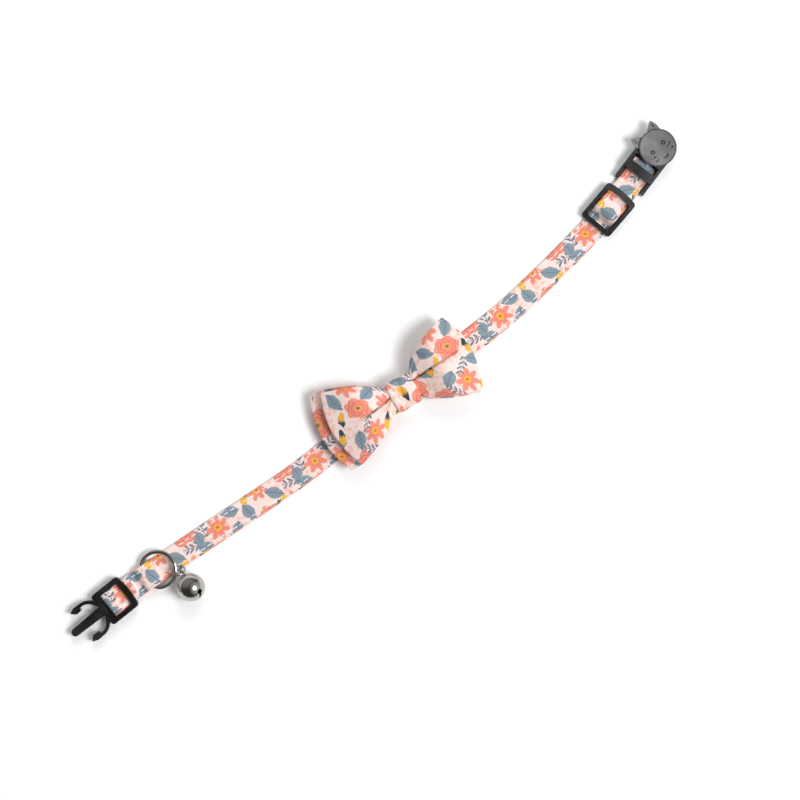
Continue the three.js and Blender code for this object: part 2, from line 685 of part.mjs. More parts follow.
// One layer of the bow: a flattened tube of cloth, open along its long edges, pinched at the knot
function bowLayer(length, height, shift, turn, underside, top, pleatDepth) {
  const endSlant = Math.hypot(1, (4 * endBulge) / height); // keeps the wall's thickness where the fold slants
  const halfHeight = (share, side) => {
    const spread = THREE.MathUtils.clamp((share - waistEnd) / (1 - waistEnd), 0, 1);
    return THREE.MathUtils.lerp(bowWaist / 2, height / 2, spread ** (side < 0 ? leftSpread : rightSpread));
  };
  const rule = (angle, across, inner) => {
    const inset = inner ? clothWall : 0;
    const half = length / 2 - inset * endSlant;
    const along = Math.cos(angle);
    const reach = Math.abs(along);
    const flatX = along * half + shift * reach;
    const share = Math.min(Math.abs(flatX) / (bowLength / 2), 1.08);
    const low = underside(share) + inset;
    const high = top(share) - inset;
    const closing = Math.sign(Math.sin(angle)) * (1 - reach ** 9) ** 0.5;
    const bulge = Math.sign(along) * endBulge * (1 - across ** 2) * reach ** 3;
    const x = flatX + bulge;
    const rise = THREE.MathUtils.smoothstep(flatX / (bowLength / 2), 0.12, 0.45) * rightWingRise;
    const y = rise - across * halfHeight(share, flatX);
    const pleatEnd = THREE.MathUtils.smoothstep(share, 0.38, 0.95);
    const fade = THREE.MathUtils.smoothstep(share, knotShare, 0.35) * (1 - pleatEnd);
    const besideCrease = Math.exp(-(((Math.abs(across) - 0.45) / 0.2) ** 2));
    const crease = Math.exp(-((across / 0.16) ** 2)) - 0.25 * besideCrease;
    const pleat = closing > 0 ? -pleatDepth * fade * crease : 0;
    const z = (low + high) / 2 + (closing * (high - low)) / 2 + pleat;
    const [turnedX, turnedY] = rotated(x, y, turn);
    return [turnedX, turnedY, z];
  };
  return closedBand(44, 9, rule);
}

// Knot: a soft band around the waist of both layers
function knotGeometry() {
  const bottom = knotFloor;
  const top = frontTop(0) + gap + clothWall + 0.5;
  const rule = (angle, across, inner) => {
    const inset = inner ? clothWall : 0;
    const roomTop = inner ? frontTop(0) + gap : top - 0.5 * across ** 2;
    const roomBottom = bottom + inset;
    const square = inner ? Math.SQRT2 : 1.3;
    const half = (knotHeight / 2) * (1 + 0.05 * across ** 2) - inset;
    const y = THREE.MathUtils.clamp(square * Math.cos(angle), -1, 1) * half;
    const middle = (roomTop + roomBottom) / 2;
    const upward = THREE.MathUtils.clamp(square * Math.sin(angle), -1, 1);
    const z = middle + (upward * (roomTop - roomBottom)) / 2;
    const x = (across * knotLength) / 2;
    const [turnedX, turnedY] = rotated(x, y, bowTurn);
    return [turnedX, turnedY, z];
  };
  return closedBand(32, 5, rule);
}

// Hidden elastic loop that holds the bow on the strap
function loopGeometry() {
  const top = knotFloor - gap;
  const outerHalf = frameInside + loopWall;
  const outer = block(-loopWidth / 2, loopWidth / 2, -outerHalf, outerHalf, 0, top);
  const room = block(-loopWidth, loopWidth, -frameInside, frameInside, loopWall, top - loopWall);
  return geometryOf(outer.subtract(room));
}

// Materials
const cloth = () => new THREE.MeshStandardMaterial({ color: 0xf3cfc6, roughness: 0.85, metalness: 0 });
const blackPlastic = () => new THREE.MeshStandardMaterial({ color: 0x1b1b1d, roughness: 0.45, metalness: 0 });
const steel = () => new THREE.MeshStandardMaterial({ color: 0xb9b3ae, roughness: 0.2, metalness: 1 });
const elastic = () => new THREE.MeshStandardMaterial({ color: 0xf2efe9, roughness: 0.9, metalness: 0 });

function named(name, geometry, material) {
  const mesh = new THREE.Mesh(geometry, material);
  mesh.name = name;
  return mesh;
}

const collar = new THREE.Group();
collar.add(named("strap", strapGeometry(), cloth()));
collar.add(placeAt(named("male_buckle", buckleGeometry(), blackPlastic()), 0));
collar.add(placeAt(named("slide", slideGeometry(), blackPlastic()), slideStation));
collar.add(placeAt(named("cat_clasp", claspGeometry(), blackPlastic()), faceStation, headingAt(strapRun)));

const dRing = named("d_ring", wire(dRingCurve(), dRingWire, 44, 8), steel());
placeAt(dRing, dRingFromBuckle);
dRing.position.z = dBarLevel;
collar.add(dRing);
const jumpRing = ringGeometry(link.middle, link.normal, jumpRingRadius, jumpRingWire, 6, 24);
collar.add(named("bell_ring", jumpRing, steel()));
collar.add(bellPose(named("bell", bellGeometry(), steel())));
const pea = named("bell_pea", new THREE.SphereGeometry(peaRadius, 10, 7), steel());
pea.position.set(bellMiddle.x, bellMiddle.y, bellWall + gap + peaRadius + 0.1);
collar.add(pea);

const bow = new THREE.Group();
const backTurn = bowTurn - 0.02;
bow.add(named("bow_back", bowLayer(
  backLength, bowHeight + 1, backShift, backTurn, backUnderside, backTop, 0.3,
), cloth()));
bow.add(named("bow_front", bowLayer(
  bowLength, bowHeight, 0, bowTurn, frontUnderside, frontTop, 1.6,
), cloth()));
bow.add(named("bow_knot", knotGeometry(), cloth()));
placeAt(bow, bowStation, 0);
collar.add(bow);
collar.add(placeAt(named("bow_loop", loopGeometry(), elastic()), bowStation));

// The part's origin: under the middle of its box, on the surface it lies on
const box = new THREE.Box3().setFromObject(collar, true);
const middle = box.getCenter(new THREE.Vector3());
collar.position.set(-middle.x, -middle.y, -box.min.z);

export default collar;
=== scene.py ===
# %% [markdown]
# # A pet bow tie collar, laid flat
#
# The collar is a flower-print strap with a bow on it, a buckle half at one end, a cat-face clasp at
# the other, a slide, and a bell on a D-ring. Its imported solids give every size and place. Each step
# below makes one piece or one finish over them, in millimetres turned into metres at the end.

# %% Load the frame
import math

import bpy
import numpy as np
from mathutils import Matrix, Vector


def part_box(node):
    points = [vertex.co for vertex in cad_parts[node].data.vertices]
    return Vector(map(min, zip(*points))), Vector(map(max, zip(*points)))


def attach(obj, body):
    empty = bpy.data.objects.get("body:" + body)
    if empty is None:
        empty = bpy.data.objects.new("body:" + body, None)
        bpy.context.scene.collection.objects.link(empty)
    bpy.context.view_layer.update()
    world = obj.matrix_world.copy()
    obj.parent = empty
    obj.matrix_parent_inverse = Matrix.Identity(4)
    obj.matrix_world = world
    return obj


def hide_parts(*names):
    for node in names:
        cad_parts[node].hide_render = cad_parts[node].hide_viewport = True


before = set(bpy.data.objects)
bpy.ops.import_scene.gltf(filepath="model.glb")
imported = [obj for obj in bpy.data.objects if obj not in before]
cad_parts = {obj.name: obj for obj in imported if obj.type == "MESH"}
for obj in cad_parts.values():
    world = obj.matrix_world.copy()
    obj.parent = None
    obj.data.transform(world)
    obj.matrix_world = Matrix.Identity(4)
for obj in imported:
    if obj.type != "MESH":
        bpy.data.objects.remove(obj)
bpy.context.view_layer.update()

MM = 0.001
scene = bpy.context.scene
print("solids:", sorted(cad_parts))


# %% [markdown]
# ## Small helpers
#
# An operator acts on whatever is selected, and loading the frame leaves all its solids selected. So
# each piece starts from an empty selection, and ends at the origin with its place in its mesh.

# %% Selection and finishing helpers
def only(obj):
    """Selects one object and makes it the active one."""
    bpy.ops.object.select_all(action="DESELECT")
    obj.select_set(True)
    bpy.context.view_layer.objects.active = obj
    return obj


def apply_all(obj):
    """Applies an object's modifiers and its place."""
    only(obj)
    for modifier in list(obj.modifiers):
        bpy.ops.object.modifier_apply(modifier=modifier.name)
    bpy.ops.object.transform_apply(location=True, rotation=True, scale=True)
    return obj


def smooth(obj, degrees):
    """Shades smoothly, except across edges sharper than this."""
    only(obj)
    bpy.ops.object.shade_smooth_by_angle(angle=math.radians(degrees))
    return obj


def carry(obj, slot, *nodes):
    """The piece rides on the one body and stands for its solids, which are hidden. slot is not used."""
    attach(obj, "root")
    if nodes:
        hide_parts(*nodes)
    print(obj.name, "has", len(obj.data.polygons), "faces")
    return obj


def mesh_piece(name, points, faces, uvs=None):
    """A new mesh object from points in millimetres, with one UV pair for each face corner."""
    mesh = bpy.data.meshes.new(name)
    mesh.from_pydata([tuple(p) for p in np.asarray(points) * MM], [], faces)
    if uvs is not None:
        layer = mesh.uv_layers.new(name="cloth")
        layer.data.foreach_set("uv", (np.asarray(uvs, dtype=float) * MM).ravel())
    mesh.validate()
    mesh.update()
    obj = bpy.data.objects.new(name, mesh)
    scene.collection.objects.link(obj)
    return obj


# %% [markdown]
# ## The camera
#
# The collar was photographed from straight above, turned forty degrees on the table. A long lens a
# metre up keeps the flat things flat, and the camera is rolled instead of turning the collar.

# %% Camera
PX = 0.39  # millimetres of table for each pixel of the 800-pixel picture
PICTURE = 800
CAMERA_HEIGHT = 1000.0
CAMERA_ROLL = -40.0
FILM = 36.0
PICTURE_CENTRE = Vector((4.767, -2.874))

camera_data = bpy.data.cameras.new("camera")
camera_data.sensor_width = FILM
camera_data.lens = FILM * CAMERA_HEIGHT / (PX * PICTURE)
camera = bpy.data.objects.new("camera", camera_data)
camera.location = (PICTURE_CENTRE.x * MM, PICTURE_CENTRE.y * MM, CAMERA_HEIGHT * MM)
camera.rotation_euler = (0, 0, math.radians(CAMERA_ROLL))
scene.collection.objects.link(camera)
scene.camera = camera
print("lens", round(camera_data.lens, 1))

# %% [markdown]
# ## The table and the light
#
# A near-white table, a large soft light high on the right of the picture, and weaker ones from its
# top and left make the short pale shadows. Metal mirrors only the first of them. The room itself stays
# dim, so that metal has something dark to mirror too.

# %% Table and lights
TABLE_WIDE = 6  # metres, so that its edge is out of sight
bpy.ops.object.select_all(action="DESELECT")
bpy.ops.mesh.primitive_plane_add(size=TABLE_WIDE, location=(0, 0, 0))
table = bpy.context.active_object
table.name = "table"

IMAGE_RIGHT = Vector((math.cos(math.radians(CAMERA_ROLL)), math.sin(math.radians(CAMERA_ROLL)), 0))
IMAGE_UP = Vector((-IMAGE_RIGHT.y, IMAGE_RIGHT.x, 0))


def soft_light(name, right, up, height, size, watts, mirrored=True):
    """An area light placed by picture directions, in metres, and aimed at the collar."""
    data = bpy.data.lights.new(name, "AREA")
    data.shape = "DISK"
    data.size = size
    data.energy = watts
    light = bpy.data.objects.new(name, data)
    light.location = IMAGE_RIGHT * right + IMAGE_UP * up + Vector((0, 0, height))
    light.rotation_euler = light.location.to_track_quat("Z", "Y").to_euler()
    light.visible_glossy = mirrored
    scene.collection.objects.link(light)


soft_light("window_light", right=0.72, up=-0.17, height=1.18, size=0.65, watts=15.3)
soft_light("top_light", right=0.1, up=1.1, height=1.0, size=0.9, watts=8, mirrored=False)
soft_light("fill_light", right=-0.8, up=-0.3, height=1.5, size=1.2, watts=3.4, mirrored=False)

world = bpy.data.worlds.new("room")
scene.world = world
world.use_nodes = True
scene.view_settings.view_transform = "Standard"


# %% [markdown]
# ## A short way to write materials
#
# A finish is a graph of small nodes. Writing them one by one hides the idea, so a little class holds
# the tree and gives each sum one short call.

# %% Node helper
class Graph:
    """A node tree with short calls for arithmetic on numbers and vectors."""

    def __init__(self, tree):
        self.tree = tree

    def add(self, kind, **settings):
        node = self.tree.nodes.new(kind)
        for key, value in settings.items():
            setattr(node, key, value)
        return node

    def plug(self, socket, value):
        if isinstance(value, bpy.types.NodeSocket):
            self.tree.links.new(value, socket)
        elif value is not None:
            socket.default_value = value

    def math(self, operation, a, b=None, c=None):
        node = self.add("ShaderNodeMath", operation=operation)
        for socket, value in zip(node.inputs, (a, b, c)):
            self.plug(socket, value)
        return node.outputs[0]

    def vector(self, operation, a, b=None, c=None):
        node = self.add("ShaderNodeVectorMath", operation=operation)
        for socket, value in zip(node.inputs, (a, b, c)):
            self.plug(socket, value)
        return node.outputs["Value" if operation in ("LENGTH", "DOT_PRODUCT") else "Vector"]

    def spot(self):
        """The point on the piece, in its own metres."""
        return self.add("ShaderNodeTexCoord").outputs["Object"]

    def split(self, vector):
        node = self.add("ShaderNodeSeparateXYZ")
        self.plug(node.inputs[0], vector)
        return node.outputs[0], node.outputs[1]

    def ramp(self, value, low, high, start=0.0, end=1.0):
        """An S-shaped step from start to end as value goes from low to high."""
        node = self.add("ShaderNodeMapRange", interpolation_type="SMOOTHSTEP")
        for socket, given in zip(node.inputs[:5], (value, low, high, start, end)):
            self.plug(socket, given)
        return node.outputs[0]

    def blend(self, factor, a, b, kind="RGBA"):
        node = self.add("ShaderNodeMix", data_type=kind)
        first = {"RGBA": 6, "VECTOR": 4, "FLOAT": 2}[kind]
        self.plug(node.inputs[0], factor)
        self.plug(node.inputs[first], a)
        self.plug(node.inputs[first + 1], b)
        return node.outputs[{"RGBA": 2, "VECTOR": 1, "FLOAT": 0}[kind]]

    def noise(self, vector, scale, detail=2):
        node = self.add("ShaderNodeTexNoise")
        self.plug(node.inputs["Vector"], vector)
        tune(node, Scale=scale, Detail=detail)
        return node.outputs[0]

    def bump(self, height, distance, strength=1.0, normal=None):
        node = self.add("ShaderNodeBump")
        tune(node, Strength=strength, Distance=distance)
        self.plug(node.inputs["Height"], height)
        if normal is not None:
            self.plug(node.inputs["Normal"], normal)
        return node.outputs[0]


def new_material(name):
    """A new material, its graph, and the shader node that the finish is plugged into."""
    material = bpy.data.materials.new(name)
    material.use_nodes = True
    shader = material.node_tree.nodes["Principled BSDF"]
    return material, Graph(material.node_tree), shader


def tune(node, **inputs):
    """Sets a node's inputs by name, with spaces in the names as underscores."""
    for name, value in inputs.items():
        node.inputs[name.replace("_", " ")].default_value = value


def wear(obj, material):
    """Puts one material on a piece, in place of what it has."""
    obj.data.materials.clear()
    obj.data.materials.append(material)
    return obj


# %% [markdown]
# ## The room
#
# Metal shows what is around it. The room is dim overhead, and brightens softly toward the window
# side and a little toward the far wall, so a polished bell has a dark patch with pale edges.

# %% Room
ROOM_DIM, WINDOW_GLOW, WALL_GLOW = 0.05, 0.6, 0.28
WINDOW_FROM, WALL_FROM = 0.45, 0.3  # cosines of the angles at which each glow sets in
g = Graph(world.node_tree)
towards = g.add("ShaderNodeTexCoord").outputs["Generated"]
window_way = (IMAGE_RIGHT * 0.8 - IMAGE_UP * 0.1 + Vector((0, 0, 0.6))).normalized()
wall_way = (IMAGE_RIGHT * -0.5 + IMAGE_UP * 0.8 + Vector((0, 0, 0.35))).normalized()
near_window = g.ramp(g.vector("DOT_PRODUCT", towards, tuple(window_way)), WINDOW_FROM, 1, 0, WINDOW_GLOW)
near_wall = g.ramp(g.vector("DOT_PRODUCT", towards, tuple(wall_way)), WALL_FROM, 1, 0, WALL_GLOW)
background = world.node_tree.nodes["Background"]
tune(background, Color=(0.98, 0.99, 1, 1))
g.plug(background.inputs["Strength"], g.math("ADD", g.math("ADD", near_window, near_wall), ROOM_DIM))
print("room glow:", ROOM_DIM, "rising by", WINDOW_GLOW, "to the window")

# %% [markdown]
# ## The table's surface
#
# Matt white board. One flat tone would look drawn, so its white drifts by a breath.

# %% Table material
board, g, shader = new_material("white_board")
spot = g.spot()
tone = g.noise(spot, 9, detail=3)
g.plug(shader.inputs["Base Color"], g.blend(tone, (0.9, 0.9, 0.905, 1), (0.93, 0.93, 0.93, 1)))
tune(shader, Roughness=0.75, Specular_IOR_Level=0.2)
wear(table, board)
print("table wears", board.name)

# %% [markdown]
# ## The flower print
#
# The cloth is cotton printed with small flowers on pale pink. The print is drawn here from sums, on
# the cloth's own flat map, so that it bends with the cloth and stays sharp close up. One repeat is
# charted: where each blossom, daisy, leaf, bud and sprig sits, how it is turned and how big it is.
# For each kind the sums keep the nearest one's own coordinates, and the kind is then drawn once,
# around its own middle.

# %% The chart of one repeat, and its inks
# Each motif is x and y in the repeat, its turn in degrees, and its reach from its middle
REPEAT = 46.0
BLOSSOMS = [(8, 9, 10, 5.9), (32, 7, 50, 5.3), (21, 25, 30, 6.2), (42, 29, 75, 5.4), (7, 35, 0, 5.2)]
DAISIES = [(19.5, 10, 15, 4.6), (34, 18, 40, 4.8), (8.5, 22, 0, 4.3), (31, 36, 25, 5.0), (18, 41, 10, 4.4)]
LEAVES = [
    (14.5, 3, 35, 4.4), (1.5, 16, 100, 4.2), (26, 14, -40, 4.3), (40, 12, 60, 4.5), (14, 17, 140, 4.1),
    (29, 28, 15, 4.3), (14, 31, -60, 4.4), (38, 38, 120, 4.5), (25, 43, 30, 4.0), (1, 28, 45, 4.3),
    (13, 37.5, 80, 3.7), (41, 20.5, -15, 3.9), (1, 42, 20, 4.0), (25.5, 18.5, 95, 3.6),
]
BUDS = [
    (25, 3, 80, 3.4), (12, 44.5, 20, 3.3), (40, 4, -70, 3.2), (36, 25, -35, 3.4), (24, 34, 150, 3.3),
    (3, 22.5, 60, 3.2), (43.5, 44, 110, 3.3), (14.5, 13, 200, 3.0),
]
SPRIGS = [(29, 22, 70, 5.2), (8, 28.5, -20, 5.0), (37, 32.5, 35, 4.4), (22, 17, 160, 4.8), (31, 42, -60, 4.8)]

PINK = (0.84, 0.64, 0.59, 1)
PINK_LIGHT = (0.88, 0.72, 0.68, 1)
CORAL = (0.79, 0.215, 0.15, 1)
CORAL_DEEP = (0.62, 0.1, 0.075, 1)
PEACH = (0.84, 0.36, 0.27, 1)
PEACH_DEEP = (0.8, 0.29, 0.205, 1)
DOT_PEACH = (0.87, 0.47, 0.355, 1)
SLATE = (0.205, 0.27, 0.325, 1)
SLATE_LIGHT = (0.28, 0.35, 0.4, 1)
SLATE_DEEP = (0.075, 0.125, 0.185, 1)
TEAL = (0.02, 0.06, 0.075, 1)
MUSTARD = (0.8, 0.42, 0.05, 1)
print("motifs in a repeat:", sum(len(chart) for chart in (BLOSSOMS, DAISIES, LEAVES, BUDS, SPRIGS)))


# %% [markdown]
# ### Tools for drawing a motif
#
# Each kind is drawn in its own coordinates, where its reach is one, so a rule reads like the flower:
# where an edge runs, how many petals scallop it, where a vein lies. A slight tremble is added to the
# map first, so that no outline looks ruled.

# %% Motif helpers
LINE_SOFT = 0.03
TREMBLE = 0.9


class MotifGraph(Graph):
    """A node tree that draws on a cloth's map, in millimetres."""

    def __init__(self, tree):
        super().__init__(tree)
        place = self.add("NodeGroupInput").outputs[0]
        self.mm = self.vector("MULTIPLY", place, (1 / MM, 1 / MM, 0))
        waver = self.add("ShaderNodeTexNoise", noise_dimensions="2D")
        tune(waver, Scale=0.45)
        self.plug(waver.inputs["Vector"], self.mm)
        either_way = self.vector("SUBTRACT", waver.outputs[1], (0.5, 0.5, 0.5))
        shift = self.vector("MULTIPLY", either_way, (TREMBLE, TREMBLE, 0))
        self.drawn = self.vector("ADD", self.mm, shift)
        self.grain = self.noise(self.mm, 2.2)

    def times(self, a, b):
        return self.math("MULTIPLY", a, b)

    def minus(self, a, b):
        return self.math("SUBTRACT", a, b)

    def absolute(self, value):
        return self.math("ABSOLUTE", value)

    def wave(self, value, rate):
        return self.math("SINE", self.times(value, rate))

    def nearest(self, chart):
        """The coordinates of the chart's nearest motif, turned and scaled to its own reach."""
        half = REPEAT / 2
        best, local = None, None
        for x, y, turn, reach in chart:
            moved = self.vector("SUBTRACT", self.drawn, (x, y, 0))
            wrapped = self.vector("WRAP", moved, (half, half, 1), (-half, -half, -1))
            own = self.add("ShaderNodeMapping", vector_type="POINT")
            self.plug(own.inputs["Vector"], wrapped)
            tune(own, Rotation=(0, 0, -math.radians(turn)), Scale=(1 / reach, 1 / reach, 1))
            size = self.vector("LENGTH", own.outputs[0])
            if best is None:
                best, local = size, own.outputs[0]
                continue
            local = self.blend(self.math("LESS_THAN", size, best), local, own.outputs[0], "VECTOR")
            best = self.math("MINIMUM", best, size)
        return local

    def polar(self, local):
        x, y = self.split(local)
        return self.vector("LENGTH", local), self.math("ARCTAN2", y, x)

    def edge(self, value, at, soft=LINE_SOFT):
        """1 where value is under at, 0 above, with a soft step."""
        return self.ramp(self.minus(at, value), -soft, soft)

    def scallop(self, angle, count, deep, turned=0.0):
        """Round bays between count petals."""
        bays = self.math("SINE", self.math("MULTIPLY_ADD", angle, count / 2, turned))
        return self.times(self.absolute(bays), deep)


# %% [markdown]
# ### Ground and dots
#
# The ground is two close pinks in a cloudy wash. Round peach dots of mixed size are crowded on it in
# loose drifts, as if dabbed with a brush's end.

# %% Ground and dots
def ground(g):
    return g.blend(g.noise(g.mm, 0.35, detail=3), PINK, PINK_LIGHT)


def dots(g, colour):
    cells = g.add("ShaderNodeTexVoronoi", voronoi_dimensions="2D")
    tune(cells, Scale=0.4, Randomness=0.75)
    g.plug(cells.inputs["Vector"], g.drawn)
    drift = g.ramp(g.noise(g.mm, 0.075, detail=0), 0.44, 0.52)
    size = g.math("MULTIPLY_ADD", g.grain, 0.3, 0.17)
    spots = g.times(g.edge(cells.outputs["Distance"], size, 0.05), drift)
    return g.blend(g.times(spots, 0.75), colour, DOT_PEACH)


# %% [markdown]
# ### Sprigs and leaves
#
# A sprig is a waving stem with slanted pairs of leaflets. A leaf is a pointed oval, a little fuller
# near its tip, with a rib and side veins that stop short of its edge.

# %% Sprigs and leaves
LEAFLET_LONG, LEAFLET_STEP = 0.42, 0.21
VEIN_STEP = 0.14


def sprigs(g, colour):
    x, y = g.split(g.nearest(SPRIGS))
    side = g.absolute(g.minus(y, g.times(g.wave(x, 2.5), 0.1)))
    stem = g.edge(side, 0.035, 0.02)
    pair = g.math("WRAP", g.minus(x, g.times(side, 0.8)), LEAFLET_STEP, -LEAFLET_STEP)
    along_leaflet = g.math("MINIMUM", side, LEAFLET_LONG)
    leaflet = g.times(g.wave(along_leaflet, math.pi / LEAFLET_LONG), 0.13)
    blade = g.edge(g.absolute(pair), leaflet, 0.02)
    blade = g.times(blade, g.math("LESS_THAN", side, LEAFLET_LONG - 0.02))
    sprig = g.times(g.math("MAXIMUM", stem, blade), g.edge(g.absolute(x), 0.86))
    return g.blend(sprig, colour, g.blend(g.grain, SLATE, SLATE_DEEP))


def leaves(g, colour):
    x, y = g.split(g.nearest(LEAVES))
    side = g.absolute(y)
    width = g.times(g.minus(1, g.times(x, x)), g.math("MULTIPLY_ADD", x, 0.14, 0.56))
    slant = g.math("WRAP", g.minus(g.times(x, 1.2), side), VEIN_STEP, -VEIN_STEP)
    vein = g.math("MAXIMUM", g.edge(side, 0.035, 0.02), g.edge(g.absolute(slant), 0.028, 0.02))
    vein = g.times(vein, g.edge(side, g.times(width, 0.72), 0.04))
    blade = g.blend(g.ramp(g.grain, 0.35, 0.65), SLATE, SLATE_LIGHT)
    blade = g.blend(g.times(vein, 0.85), blade, SLATE_DEEP)
    return g.blend(g.edge(side, width), colour, blade)


# %% [markdown]
# ### Buds, daisies and blossoms
#
# A bud is a mustard drop with a dark, toothed cap. A daisy has seven streaked petals around a mustard
# disc. A blossom is three rings of scalloped petals, each outlined, around a seeded middle.

# %% Buds, daisies and blossoms
DAISY_PETALS, BLOSSOM_PETALS = 7, 6
PETAL_RINGS = [(0.8, 0.18, 0.0), (0.6, 0.14, 0.9), (0.4, 0.1, 0.3)]  # radius, depth of bays, turn


def buds(g, colour):
    x, y = g.split(g.nearest(BUDS))
    oval = g.math("SQRT", g.math("MAXIMUM", g.minus(1, g.times(x, x)), 0))
    drop = g.times(oval, g.math("MULTIPLY_ADD", x, -0.18, 0.42))
    bud = g.times(g.edge(g.absolute(y), drop), g.math("LESS_THAN", g.absolute(x), 1))
    teeth = g.absolute(g.math("WRAP", y, 0.12, -0.12))
    cap = g.edge(g.math("MULTIPLY_ADD", teeth, -3.2, 0.25), x)
    return g.blend(bud, colour, g.blend(cap, MUSTARD, TEAL))


def daisies(g, colour):
    radius, angle = g.polar(g.nearest(DAISIES))
    petals = g.math("ADD", g.scallop(angle, DAISY_PETALS, 0.5), 0.5)
    streak = g.times(g.ramp(radius, 0.2, 0.9), g.absolute(g.wave(angle, DAISY_PETALS)))
    daisy = g.blend(g.times(streak, 0.6), CORAL, PEACH)
    daisy = g.blend(g.edge(radius, 0.3), daisy, MUSTARD)
    daisy = g.blend(g.edge(radius, 0.12), daisy, CORAL_DEEP)
    return g.blend(g.edge(radius, petals, 0.04), colour, daisy)


def blossoms(g, colour):
    radius, angle = g.polar(g.nearest(BLOSSOMS))
    bloom = g.blend(g.grain, PEACH, PEACH_DEEP)
    for at, deep, turned_by in PETAL_RINGS:
        line = g.math("ADD", g.scallop(angle, BLOSSOM_PETALS, deep, turned_by), at)
        outline = g.edge(g.absolute(g.minus(radius, line)), 0.035)
        bloom = g.blend(g.times(g.edge(radius, line), 0.28), bloom, CORAL)
        bloom = g.blend(g.times(outline, 0.75), bloom, CORAL_DEEP)
    seeds = g.absolute(g.wave(angle, 3.5))
    bloom = g.blend(g.edge(radius, 0.25), bloom, MUSTARD)
    bloom = g.blend(g.edge(radius, g.times(seeds, 0.2)), bloom, TEAL)
    rim = g.math("ADD", g.scallop(angle, BLOSSOM_PETALS, 0.18), 0.82)
    return g.blend(g.edge(radius, rim), colour, bloom)


# %% [markdown]
# ### The print as one node
#
# The kinds are laid one over the other, the largest last, as a screen printer would. All of it goes
# into one node group, so that every cloth can use the same print at its own offset.

# %% Print as a node group
def build_print():
    tree = bpy.data.node_groups.new("flower_print", "ShaderNodeTree")
    tree.interface.new_socket("Cloth", in_out="INPUT", socket_type="NodeSocketVector")
    tree.interface.new_socket("Color", in_out="OUTPUT", socket_type="NodeSocketColor")
    g = MotifGraph(tree)
    colour = ground(g)
    for paint in (dots, sprigs, leaves, buds, daisies, blossoms):
        colour = paint(g, colour)
    g.plug(g.add("NodeGroupOutput").inputs[0], colour)
    return tree


flower_print = build_print()
print("print nodes:", len(flower_print.nodes))


# %% [markdown]
# ## Printed cotton
#
# The print lies on a plain weave about a third of a millimetre fine. The weave is too fine to see
# from the camera, yet it takes the edge off the light, and close up it shows as a soft grid.

# %% Cloth material
YARN = 0.34 * MM


def printed_cloth(name, offset, roughness, sheen):
    """Cotton whose print starts at this offset, in millimetres."""
    material, g, shader = new_material(name)
    uv = g.add("ShaderNodeUVMap", uv_map="cloth").outputs[0]
    moved = g.vector("ADD", uv, (offset[0] * MM, offset[1] * MM, 0))
    printed = g.add("ShaderNodeGroup", node_tree=flower_print)
    g.plug(printed.inputs[0], moved)
    x, y = g.split(uv)
    over = g.math("SINE", g.math("MULTIPLY", x, 2 * math.pi / YARN))
    under = g.math("SINE", g.math("MULTIPLY", y, 2 * math.pi / YARN))
    weave = g.math("MULTIPLY", over, under)
    # The weave's dips darken the print a little: painted shade between the yarns, beside its bump.
    shade = g.math("MULTIPLY_ADD", weave, 0.025, 0.975)
    tinted = g.add("ShaderNodeMix", data_type="RGBA", blend_type="MULTIPLY")
    tinted.inputs[0].default_value = 1
    g.plug(tinted.inputs[6], printed.outputs[0])
    grey = g.add("ShaderNodeCombineColor")
    for socket in grey.inputs:
        g.plug(socket, shade)
    g.plug(tinted.inputs[7], grey.outputs[0])
    g.plug(shader.inputs["Base Color"], tinted.outputs[2])
    crumple = g.noise(uv, 260, detail=3)
    normal = g.bump(weave, 0.04 * MM, 0.6)
    g.plug(shader.inputs["Normal"], g.bump(crumple, 0.35 * MM, 0.35, normal))
    tune(shader, Roughness=roughness, Specular_IOR_Level=0.3, Sheen_Weight=sheen, Sheen_Roughness=0.5)
    return material


strap_cloth = printed_cloth("strap_cotton", (4, 13), roughness=0.6, sheen=0.05)
front_cloth = printed_cloth("bow_front_cotton", (12, 1), roughness=0.8, sheen=0.1)
back_cloth = printed_cloth("bow_back_cotton", (31, 20), roughness=0.8, sheen=0.1)
knot_cloth = printed_cloth("bow_knot_cotton", (25, 30), roughness=0.8, sheen=0.1)
print("cloths:", [cloth.name for cloth in (strap_cloth, front_cloth, back_cloth, knot_cloth)])

# %% [markdown]
# ## The strap
#
# Tape covered in printed cotton, one millimetre thick, folded back around a bar at each end. Its
# line is drawn twice over: from the side, where it climbs over bars and turns back, and in plan,
# where it lies in a slack curve. A flat band swept along both, with soft rims, is the strap.

# %% The strap's line in plan
STRAP_WIDTH = 10.0
STRAP_THICK = 1.0
STRAP_RUN = 266.4
SEAM = STRAP_WIDTH / 2 - 1.7
HEADINGS = [
    (0, -0.02), (0.05, -0.098), (0.28, -0.116), (0.345, -0.035), (0.5165, -0.03), (0.6, -0.06),
    (0.68, -0.02), (0.75, 0.06), (0.86, 0.11), (0.93, 0.175), (1, 0.225),
]


def heading(station):
    """The strap's direction at a station, in radians."""
    return np.interp(np.asarray(station) / STRAP_RUN, [s for s, _ in HEADINGS], [t for _, t in HEADINGS])


ROUTE_STEPS = 267
route_step = STRAP_RUN / ROUTE_STEPS
route_turns = heading((np.arange(ROUTE_STEPS) + 0.5) * route_step)
route = np.zeros((ROUTE_STEPS + 1, 2))
route[1:, 0] = np.cumsum(np.cos(route_turns) * route_step)
route[1:, 1] = np.cumsum(np.sin(route_turns) * route_step)
print("strap's far end at", route[-1].round(1), "mm from its start")


